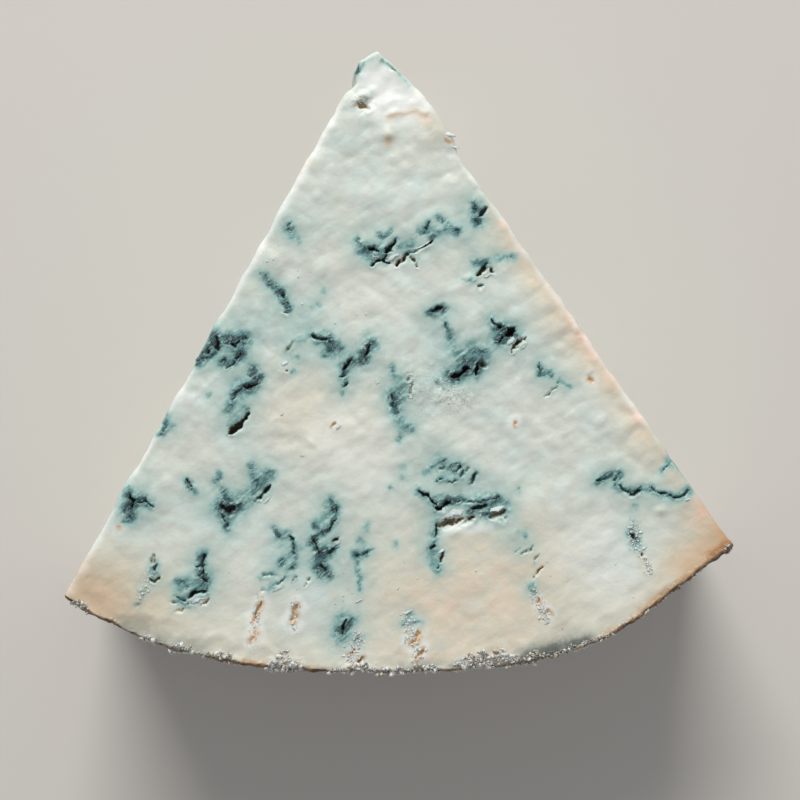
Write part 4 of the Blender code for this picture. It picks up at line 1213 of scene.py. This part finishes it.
def flap(rng, half_width, lift, path):
    """A thin torn sheet along a path, in (x, y): its far edge is sunk, and its near edge stands up."""
    path = np.asarray(path, float)
    travelled = np.concatenate(([0.0], np.cumsum(np.linalg.norm(np.diff(path, axis=0), axis=1))))
    rows = max(6, round(travelled[-1] / FLAP_STEP))
    shares = np.linspace(0.0, 1.0, rows + 1)
    middle = np.column_stack([np.interp(shares * travelled[-1], travelled, path[:, k]) for k in (0, 1)])
    along = np.gradient(middle, axis=0)
    towards = np.column_stack((along[:, 1], -along[:, 0])) / np.linalg.norm(along, axis=1)[:, None]
    towards *= np.where(towards[:, 1:] > 0.0, -1.0, 1.0)
    sides = np.linspace(-1.0, 1.0, FLAP_COLUMNS + 1)
    jags = [[rng.uniform(-0.3, 0.3) for _ in shares] for _ in (0, 1)]
    narrow = np.maximum(np.sin(np.pi * shares) ** 0.5, 0.06)
    wander = Vector((rng.uniform(0.0, 99.0), 0.0, 0.0))
    upper, lower = [], []
    for i, share in enumerate(shares):
        for side in sides:
            sway = noise.noise(wander + Vector((1.3 * travelled[-1] * share, 7.0 * (side > 0.0), 0.0)))
            jag = 1.0 + (jags[int(side > 0.0)][i] + 0.7 * sway) * abs(side)
            flat = middle[i] + towards[i] * side * half_width * narrow[i] * jag
            rise = lift * (0.45 * side + 0.1) * narrow[i] - 0.3 * (1.0 - narrow[i]) - 0.12
            thick = 0.05 + 0.12 * (1.0 - side**2)
            height = THICKNESS + rise + rng.uniform(-0.05, 0.05)
            upper.append((*flat, height + thick * narrow[i]))
            lower.append((*flat, height - thick))
    width = FLAP_COLUMNS + 1
    total = len(upper)
    faces = []
    for i, j in itertools.product(range(rows), range(FLAP_COLUMNS)):
        a, d = i * width + j, (i + 1) * width + j
        b, c = a + 1, d + 1
        faces += [(a, b, c, d), (total + d, total + c, total + b, total + a)]
    rim = list(range(width))
    rim += [i * width + FLAP_COLUMNS for i in range(1, rows + 1)]
    rim += [rows * width + j for j in range(FLAP_COLUMNS - 1, -1, -1)]
    rim += [i * width for i in range(rows - 1, 0, -1)]
    for a, b in zip(rim, rim[1:] + rim[:1]):
        faces.append((b, a, total + a, total + b))
    points = np.array(upper + lower)
    corners = points[[face[:3] for face in faces]]
    if np.linalg.det(corners).sum() < 0.0:  # the volume comes out negative where the faces point in
        faces = [face[::-1] for face in faces]
    return points, faces


def add_flaps(material):
    """The torn sheets of paste at the cracks."""
    rng = random.Random(3)
    bits = Bits()
    for number, (size, lift, path) in enumerate(planned(FLAPS + SPLINTERS)):
        points, faces = flap(rng, size, lift, path)
        points[:, 2] += lumps(points * (1.0, 1.0, 0.0) + (0.0, 0.0, THICKNESS))
        bloom = rng.uniform(0.35, 0.75) if number < len(FLAPS) else 0.0
        bits.add(points, faces, haze=bloom, white=rng.uniform(0.7, 1.0), grain=0.7)
    bits.build("torn_flaps", material)


def round_crumb():
    """Points and faces of a small ball, to be made uneven."""
    ball = bmesh.new()
    bmesh.ops.create_icosphere(ball, subdivisions=1, radius=1.0)
    points = np.array([tuple(v.co) for v in ball.verts])
    faces = [tuple(v.index for v in face.verts) for face in ball.faces]
    ball.free()
    return points, faces


class Crumbler:
    """Drops uneven crumbs on the wedge."""

    def __init__(self, tree, seed):
        self.tree = tree
        self.rng = random.Random(seed)
        self.ball, self.faces = round_crumb()
        self.bits = Bits()

    def crumb(self, centre, size, **fields):
        shape = self.ball * (1.35 * size, size * self.rng.uniform(0.55, 0.9), size * CRUMB_FLATNESS)
        shift = Vector((self.rng.uniform(0.0, 50.0), 0.0, 0.0))
        swell = np.array([1.0 + 1.1 * noise.noise(Vector(p) * 1.9 + shift) for p in self.ball])
        tilt = self.rng.gauss(0.0, 0.4), self.rng.gauss(0.0, 0.4)
        turn = Euler((*tilt, self.rng.gauss(math.radians(DRAG_ANGLE), 0.8))).to_matrix()
        points = (shape * swell[:, None]) @ np.array(turn).T + centre
        self.bits.add(points, self.faces, **fields)

    def drop(self, x, y, size, **fields):
        """Lays a crumb where a line straight down meets the wedge."""
        hit, normal, _, _ = self.tree.ray_cast(Vector((x, y, HIGH_ABOVE)), Vector((0.0, 0.0, -1.0)))
        if hit is not None and hit.z > THICKNESS - DEEPEST_CRUMB:
            self.crumb(np.array(hit + normal * 0.15 * size), size, **fields)

    def stick(self, bearing, height, size, **fields):
        """Sets a crumb on the rind."""
        start = Vector((*polar(WELL_OUTSIDE, bearing), height))
        hit, normal, _, _ = self.tree.ray_cast(start, Vector((-start.x, -start.y, 0.0)).normalized())
        if hit is not None:
            self.crumb(np.array(hit + normal * 0.3 * size), size, **fields)


def crumb_looks(rng, whiteness):
    """Fields of a crumb: whitish mould, or a flake of the brown crust."""
    if rng.random() < whiteness:
        return {"white": rng.uniform(0.4, 1.0)}
    return {"white": rng.uniform(0.0, 0.4)}


def add_rind_crumbs(tree, material):
    crumbler = Crumbler(tree, 11)
    rng = crumbler.rng
    for first, last, inward, count, whiteness in RIND_CRUMBS:
        for _ in range(count):
            bearing = rng.uniform(first, last)
            edge = math.sin(math.pi * (bearing - first) / (last - first)) ** 0.5
            edge *= 1.0 + 0.9 * noise.noise(Vector((bearing, 0.0, 0.0)))
            inset = inward * edge * rng.random() ** 1.3
            size = rng.uniform(0.09, 0.2) + 0.3 * rng.random() ** 6
            if inset < 0.45:
                height = THICKNESS - 0.2 - 1.2 * rng.random()
                crumbler.stick(bearing, height, size, **crumb_looks(rng, whiteness))
            else:
                x, y = polar(rind_radius(bearing) - inset, bearing)
                crumbler.drop(x, y, size, **crumb_looks(rng, whiteness))
    for _ in range(RIND_SCATTER):
        bearing = rng.uniform(LEFT_BEARING + 0.5, RIGHT_BEARING - 0.5)
        height = rng.uniform(1.5, THICKNESS - 1.5)
        crumbler.stick(bearing, height, rng.uniform(0.1, 0.35), **crumb_looks(rng, 0.5))
    crumbler.bits.build("rind_crumbs", material)


def add_paste_crumbs(tree, material):
    crumbler = Crumbler(tree, 12)
    rng = crumbler.rng
    for spread, count, largest, path in PASTE_CRUMBS:
        (x0, y0), (x1, y1) = in_plan(path)
        for _ in range(count):
            share = rng.random()
            x = x0 + share * (x1 - x0) + rng.gauss(0.0, 0.5 * spread)
            y = y0 + share * (y1 - y0) + rng.gauss(0.0, 0.5 * spread)
            size = largest * (0.18 + 0.45 * rng.random() ** 2)
            crumbler.drop(x, y, size, white=rng.uniform(0.6, 1.0))
    crumbler.bits.build("paste_crumbs", material)


# ---- materials ----


def shade(red, green, blue):
    """A linear colour from its usual 0 to 255 values."""
    def linear(value):
        value /= 255.0
        return value / 12.92 if value <= 0.04045 else ((value + 0.055) / 1.055) ** 2.4
    return linear(red), linear(green), linear(blue), 1.0


class Shader:
    """A Principled material's node tree, with short ways to add nodes to it."""

    def __init__(self, name):
        self.material = bpy.data.materials.new(name)
        self.material.use_nodes = True
        self.tree = self.material.node_tree
        self.surface = self.tree.nodes["Principled BSDF"]
        self.place = self.tree.nodes.new("ShaderNodeTexCoord").outputs["Object"]
        self.fields = {}

    def link(self, value, socket):
        """Joins an output to a socket, or sets the socket to a plain value."""
        if isinstance(value, bpy.types.NodeSocket):
            self.tree.links.new(value, socket)
        else:
            socket.default_value = value

    def set(self, **sockets):
        for name, value in sockets.items():
            self.link(value, self.surface.inputs[name.replace("_", " ")])

    def field(self, name):
        """One of the fields that the surface carries, read by one node however often it is used."""
        if name not in self.fields:
            node = self.tree.nodes.new("ShaderNodeAttribute")
            node.attribute_name = name
            self.fields[name] = node.outputs["Fac"]
        return self.fields[name]

    def maths(self, operation, first, second=0.0, third=0.0, clamp=False):
        node = self.tree.nodes.new("ShaderNodeMath")
        node.operation = operation
        node.use_clamp = clamp
        for value, socket in zip((first, second, third), node.inputs):
            self.link(value, socket)
        return node.outputs[0]

    def times(self, first, second, clamp=False):
        return self.maths("MULTIPLY", first, second, clamp=clamp)

    def plus(self, first, second, clamp=False):
        return self.maths("ADD", first, second, clamp=clamp)

    def minus(self, first, second, clamp=False):
        return self.maths("SUBTRACT", first, second, clamp=clamp)

    def times_plus(self, value, factor, more):
        return self.maths("MULTIPLY_ADD", value, factor, more)

    def close_to(self, value, middle, reach):
        """1 where a value is at the middle, fading to 0 at a reach from it."""
        return self.between(self.maths("ABSOLUTE", self.minus(value, middle)), reach, 0.0)

    def noise(self, size, detail=2.0, roughness=0.5, place=None):
        """Noise from 0 to 1 with lumps of about a size in millimetres."""
        node = self.tree.nodes.new("ShaderNodeTexNoise")
        self.link(place or self.place, node.inputs["Vector"])
        node.inputs["Scale"].default_value = 1.0 / (size * MM)
        node.inputs["Detail"].default_value = detail
        node.inputs["Roughness"].default_value = roughness
        return node.outputs["Fac"]

    def stretched(self, angle, scale):
        """Coordinates turned about Z and stretched, for marks that run one way."""
        node = self.tree.nodes.new("ShaderNodeMapping")
        node.vector_type = "TEXTURE"
        node.inputs["Rotation"].default_value = (0.0, 0.0, math.radians(angle))
        node.inputs["Scale"].default_value = scale
        self.link(self.place, node.inputs["Vector"])
        return node.outputs["Vector"]

    def between(self, value, low, high):
        """0 below low, 1 above high, smooth between."""
        node = self.tree.nodes.new("ShaderNodeMapRange")
        node.interpolation_type = "SMOOTHSTEP"
        node.inputs["From Min"].default_value = low
        node.inputs["From Max"].default_value = high
        self.link(value, node.inputs["Value"])
        return node.outputs["Result"]

    def mix(self, share, first, second):
        """Two colours mixed."""
        node = self.tree.nodes.new("ShaderNodeMix")
        node.data_type = "RGBA"
        self.link(share, node.inputs["Factor"])
        self.link(first, node.inputs["A"])
        self.link(second, node.inputs["B"])
        return node.outputs["Result"]

    def mix_value(self, share, first, second):
        """Two plain numbers mixed."""
        node = self.tree.nodes.new("ShaderNodeMix")
        self.link(share, node.inputs["Factor"])
        self.link(first, node.inputs["A"])
        self.link(second, node.inputs["B"])
        return node.outputs["Result"]

    def ramp(self, value, *stops):
        """Colours along a value, each stop (position, (red, green, blue))."""
        node = self.tree.nodes.new("ShaderNodeValToRGB")
        ramp = node.color_ramp
        while len(ramp.elements) < len(stops):
            ramp.elements.new(0.5)
        for element, (position, colour) in zip(ramp.elements, stops):
            element.position = position
            element.color = shade(*colour)
        self.link(value, node.inputs["Fac"])
        return node.outputs["Color"]

    def bump(self, height, distance, under=None):
        """Normals for a height from 0 to 1 over a distance in millimetres, on top of those under it."""
        node = self.tree.nodes.new("ShaderNodeBump")
        node.inputs["Strength"].default_value = 1.0
        node.inputs["Distance"].default_value = distance * MM
        self.link(height, node.inputs["Height"])
        if under is not None:
            self.link(under, node.inputs["Normal"])
        return node.outputs["Normal"]


class Cheese(Shader):
    """The cheese's shader, with the noises that its colours and bumps share."""

    def __init__(self):
        super().__init__("stilton")
        self.drag = self.stretched(DRAG_ANGLE, (3.0, 1.0, 1.0))
        self.fine = self.noise(0.55, 3.0, 0.6)
        self.speck = self.noise(0.34, 2.0, 0.6)
        self.blot = self.noise(1.5, 4.0, 0.65)
        self.dust = self.noise(1.3, 4.0, 0.7)
        self.streak = self.noise(0.5, 3.0, 0.6, self.drag)
        flake = self.noise(0.6, 2.0, 0.5, self.drag)
        self.grains = self.minus(self.plus(flake, self.times_plus(self.speck, 0.5, 0.25)), 1.0)
        self.torn = self.noise(0.9, 2.0, 0.5, self.drag)
        self.mouldy = self.between(self.field("mould"), 0.25, 0.55)
        # fine cracks in the mould, painted dark partly as shade
        self.shaded_cracks = self.times(self.close_to(self.torn, 0.5, 0.035), self.mouldy)


def paste_colour(s):
    """Pale paste, whiter and warmer in places, with painted highlights, under a blue-green haze."""
    broad = s.noise(11.0, 3.0, 0.55)
    curd = s.noise(2.4, 3.0)
    paste = s.mix(s.between(broad, 0.38, 0.62), shade(219, 232, 226), shade(229, 232, 221))
    paste = s.mix(s.between(curd, 0.3, 0.7), shade(218, 222, 213), paste)
    warm = s.times(s.field("warm"), s.between(curd, 0.0, 0.6), clamp=True)
    warmed = s.ramp(warm, (0.45, (229, 214, 187)), (0.8, (238, 214, 187)), (1.0, (255, 211, 189)))
    paste = s.mix(warm, paste, warmed)
    # whiter paste, and painted highlights on the cut edges and a lit slope
    paste = s.mix(s.times(s.field("white"), 0.9), paste, shade(252, 254, 250))
    haze = s.times(s.field("haze"), s.between(s.blot, 0.0, 0.65), clamp=True)
    return s.mix(haze, paste, shade(152, 192, 187))


def veined(s, paste):
    """The mould over the paste: a stain with dark, grainy hearts, fine cracks dark with mould and painted
    shade, pale painted highlights along them, and the needles' rust.
    """
    mould, core = s.field("mould"), s.field("core")
    stain = s.times(mould, s.times_plus(s.blot, 0.9, 0.55))
    mottle = s.minus(s.plus(s.streak, s.fine), 1.0)
    stain = s.times_plus(s.times(mottle, s.between(mould, 0.05, 0.4)), 0.65, stain)
    veins = s.ramp(
        stain,
        (0.08, (182, 209, 203)),
        (0.26, (150, 190, 185)),
        (0.46, (104, 157, 157)),
        (0.66, (62, 122, 130)),
        (0.9, (28, 88, 98)),
    )
    colour = s.mix(s.between(stain, -0.03, 0.3), paste, veins)
    grit = s.times(s.grains, s.between(core, 0.0, 0.3))
    dark = s.between(s.times_plus(grit, 2.5, core), 0.34, 0.86)
    colour = s.mix(s.times(dark, 0.78), colour, shade(14, 68, 78))
    pale = s.times(s.between(s.grains, 0.08, 0.2), s.between(mould, 0.3, 0.7))
    colour = s.mix(s.times(pale, 0.45), colour, shade(188, 220, 216))
    # painted highlight: a pale line beside each fine crack, as on its lit lip
    lit_crack_lips = s.times(s.close_to(s.torn, 0.57, 0.035), s.mouldy)
    colour = s.mix(s.times(lit_crack_lips, 0.5), colour, shade(204, 230, 226))
    # fine cracks: the mould's dark teal together with painted shade in them
    colour = s.mix(s.times(s.shaded_cracks, 0.8), colour, shade(6, 50, 62))
    rusty = s.ramp(s.fine, (0.3, (204, 148, 98)), (0.7, (234, 198, 152)))
    return s.mix(s.field("rust"), colour, rusty)


def shaded_in_cracks(s, colour):
    """Shadow in the cracks, brown in clean ones and blue-black in mouldy ones."""
    crack_shade = s.field("crack_shade")
    crack_shade = s.times_plus(s.times(s.grains, s.between(crack_shade, 0.0, 0.15)), 1.9, crack_shade)
    clean = s.ramp(
        crack_shade,
        (0.15, (198, 182, 152)),
        (0.45, (152, 132, 104)),
        (0.8, (104, 86, 66)),
        (1.0, (70, 56, 44)),
    )
    mouldy = s.ramp(
        crack_shade,
        (0.12, (122, 156, 153)),
        (0.35, (66, 102, 107)),
        (0.65, (22, 42, 48)),
        (1.0, (8, 15, 19)),
    )
    shadowed = s.mix(s.between(s.field("mould"), 0.05, 0.4), clean, mouldy)
    return s.mix(s.minus(s.between(crack_shade, 0.06, 0.4), s.field("rust"), clamp=True), colour, shadowed)


def weathered(s, colour):
    """Powder, browning and mildew, which show near the rind, and tan painted shadows under a splinter and a
    lump.
    """
    powder, toast_and_shade = s.field("powder"), s.field("toast_and_shade")
    colour = s.mix(s.times(s.between(s.speck, 0.53, 0.62), powder), colour, shade(252, 252, 248))
    colour = s.mix(s.times(s.between(s.speck, 0.44, 0.36), powder), colour, shade(160, 162, 150))
    # tan: browning, and painted shadows under a splinter and a lump
    tan = s.ramp(toast_and_shade, (0.1, (214, 196, 162)), (0.6, (196, 150, 102)), (1.0, (150, 96, 54)))
    colour = s.mix(s.between(toast_and_shade, -0.1, 0.75), colour, tan)
    mildew = s.times(s.field("mildew"), s.between(s.blot, -0.4, 0.6), clamp=True)
    greyed = s.ramp(mildew, (0.1, (190, 196, 184)), (0.5, (132, 138, 128)), (1.0, (62, 68, 66)))
    return s.mix(s.between(mildew, -0.1, 0.6), colour, greyed)


def crusted(s, colour):
    """The rind's brown crust, powdery, toasted or mildewed in places."""
    rind = s.ramp(
        s.dust,
        (0.34, (78, 56, 40)),
        (0.46, (124, 96, 70)),
        (0.56, (160, 140, 114)),
        (0.68, (208, 202, 190)),
    )
    powdery = s.ramp(s.fine, (0.38, (128, 120, 106)), (0.47, (178, 172, 158)), (0.58, (226, 223, 213)))
    rind = s.mix(s.field("powder"), rind, powdery)
    rind = s.mix(s.times(s.field("toast_and_shade"), 0.65), rind, shade(122, 80, 50))
    rind = s.mix(s.times(s.field("mildew"), 0.6), rind, shade(98, 100, 92))
    rind = s.mix(s.between(s.speck, 0.6, 0.75), rind, shade(196, 192, 180))
    return s.mix(s.between(s.field("crust"), 0.3, 0.7), colour, rind)


def cheese_normals(s):
    """Fine bumps: the knife's streaks, the crust's grain, gritty mould and its tears."""
    mould, crust = s.field("mould"), s.field("crust")
    smeared = s.times_plus(s.noise(1.8, 2.0), 0.9, s.times(s.streak, 0.3))
    gritty = s.plus(s.between(mould, 0.25, 0.8), s.times_plus(s.field("grain"), 0.4, crust))
    tears = s.minus(s.between(s.noise(0.45, 3.0, 0.65, s.drag), 0.44, 0.56), s.shaded_cracks)
    normals = s.bump(smeared, 0.14)
    normals = s.bump(s.times(s.dust, crust), 0.7, normals)
    normals = s.bump(s.times(s.noise(0.3, 3.0, 0.7), gritty), 0.3, normals)
    return s.bump(s.times(tears, s.between(mould, 0.3, 0.8)), 0.16, normals)


def cheese_material():
    """Moist, slightly glossy paste that turns dry and matt at its mould and its crust."""
    s = Cheese()
    colour = crusted(s, weathered(s, shaded_in_cracks(s, veined(s, paste_colour(s)))))
    dry = s.plus(s.field("crust"), s.field("grain"))
    dry = s.plus(s.between(s.field("mould"), 0.3, 0.7), dry, clamp=True)
    s.set(Base_Color=colour, Roughness=s.mix_value(dry, 0.5, 0.85), Normal=cheese_normals(s))
    s.set(Coat_Weight=s.mix_value(dry, 0.07, 0.0), Coat_Roughness=0.32)
    s.set(Subsurface_Weight=0.35, Subsurface_Radius=(1.0, 0.85, 0.65), Subsurface_Scale=1.2 * MM)
    return s.material


def crumb_material():
    """Dry crumbs, from brown crust to white mould."""
    s = Shader("crumbs")
    colour = s.ramp(
        s.field("white"),
        (0.0, (134, 112, 88)),
        (0.3, (200, 190, 170)),
        (0.6, (214, 211, 200)),
        (1.0, (234, 236, 230)),
    )
    s.set(Base_Color=colour, Roughness=0.85)
    s.set(Subsurface_Weight=0.8, Subsurface_Radius=(1.0, 0.9, 0.75), Subsurface_Scale=0.5 * MM)
    return s.material


def floor_material():
    s = Shader("pale_floor")
    s.set(Base_Color=shade(214, 209, 202), Roughness=0.7)
    return s.material


# ---- stage ----


def build_floor():
    corners = np.array(((-1, -1, 0), (1, -1, 0), (1, 1, 0), (-1, 1, 0))) * FLOOR_REACH
    mesh = mesh_from("floor", corners, [(0, 1, 2, 3)])
    mesh.materials.append(floor_material())
    floor = bpy.data.objects.new("floor", mesh)
    floor.location.z = -FLOOR_GAP * MM
    bpy.context.scene.collection.objects.link(floor)


def add_area_light(name, place, size, power, colour):
    """A square soft light that faces the wedge."""
    light = bpy.data.lights.new(name, "AREA")
    light.size = size
    light.energy = power
    light.color = colour
    lamp = bpy.data.objects.new(name, light)
    lamp.location = place
    lamp.rotation_euler = (-Vector(place)).to_track_quat("-Z", "Y").to_euler()
    bpy.context.scene.collection.objects.link(lamp)


def light_scene():
    add_area_light("window", (-0.24, 1.36, 1.0), size=0.9, power=29.0, colour=(1.0, 0.99, 0.97))
    add_area_light("ceiling", (0.2, -0.3, 0.9), size=0.9, power=1.2, colour=(0.97, 0.98, 1.0))
    world = bpy.data.worlds.new("room")
    world.use_nodes = True
    background = world.node_tree.nodes["Background"]
    background.inputs["Color"].default_value = (0.93, 0.96, 1.0, 1.0)
    background.inputs["Strength"].default_value = 0.24
    bpy.context.scene.world = world
    bpy.context.scene.view_settings.view_transform = "Standard"


VIEW_CENTRE = (0.24, -5.73)  # mm, in the part's frame
CAMERA_HEIGHT = 340.0


def place_camera():
    """Straight above the wedge, with the nose up."""
    camera = bpy.data.cameras.new("camera")
    camera.lens = 85.0
    camera.sensor_width = 36.0
    camera.clip_start = 0.01
    holder = bpy.data.objects.new("camera", camera)
    holder.location = Vector((*VIEW_CENTRE, CAMERA_HEIGHT)) * MM
    bpy.context.scene.collection.objects.link(holder)
    bpy.context.scene.camera = holder


stilton = cheese_material()
wedge_tree = build_wedge(stilton)
add_flaps(stilton)
crumbly = crumb_material()
add_rind_crumbs(wedge_tree, crumbly)
add_paste_crumbs(wedge_tree, crumbly)
build_floor()
light_scene()
place_camera()
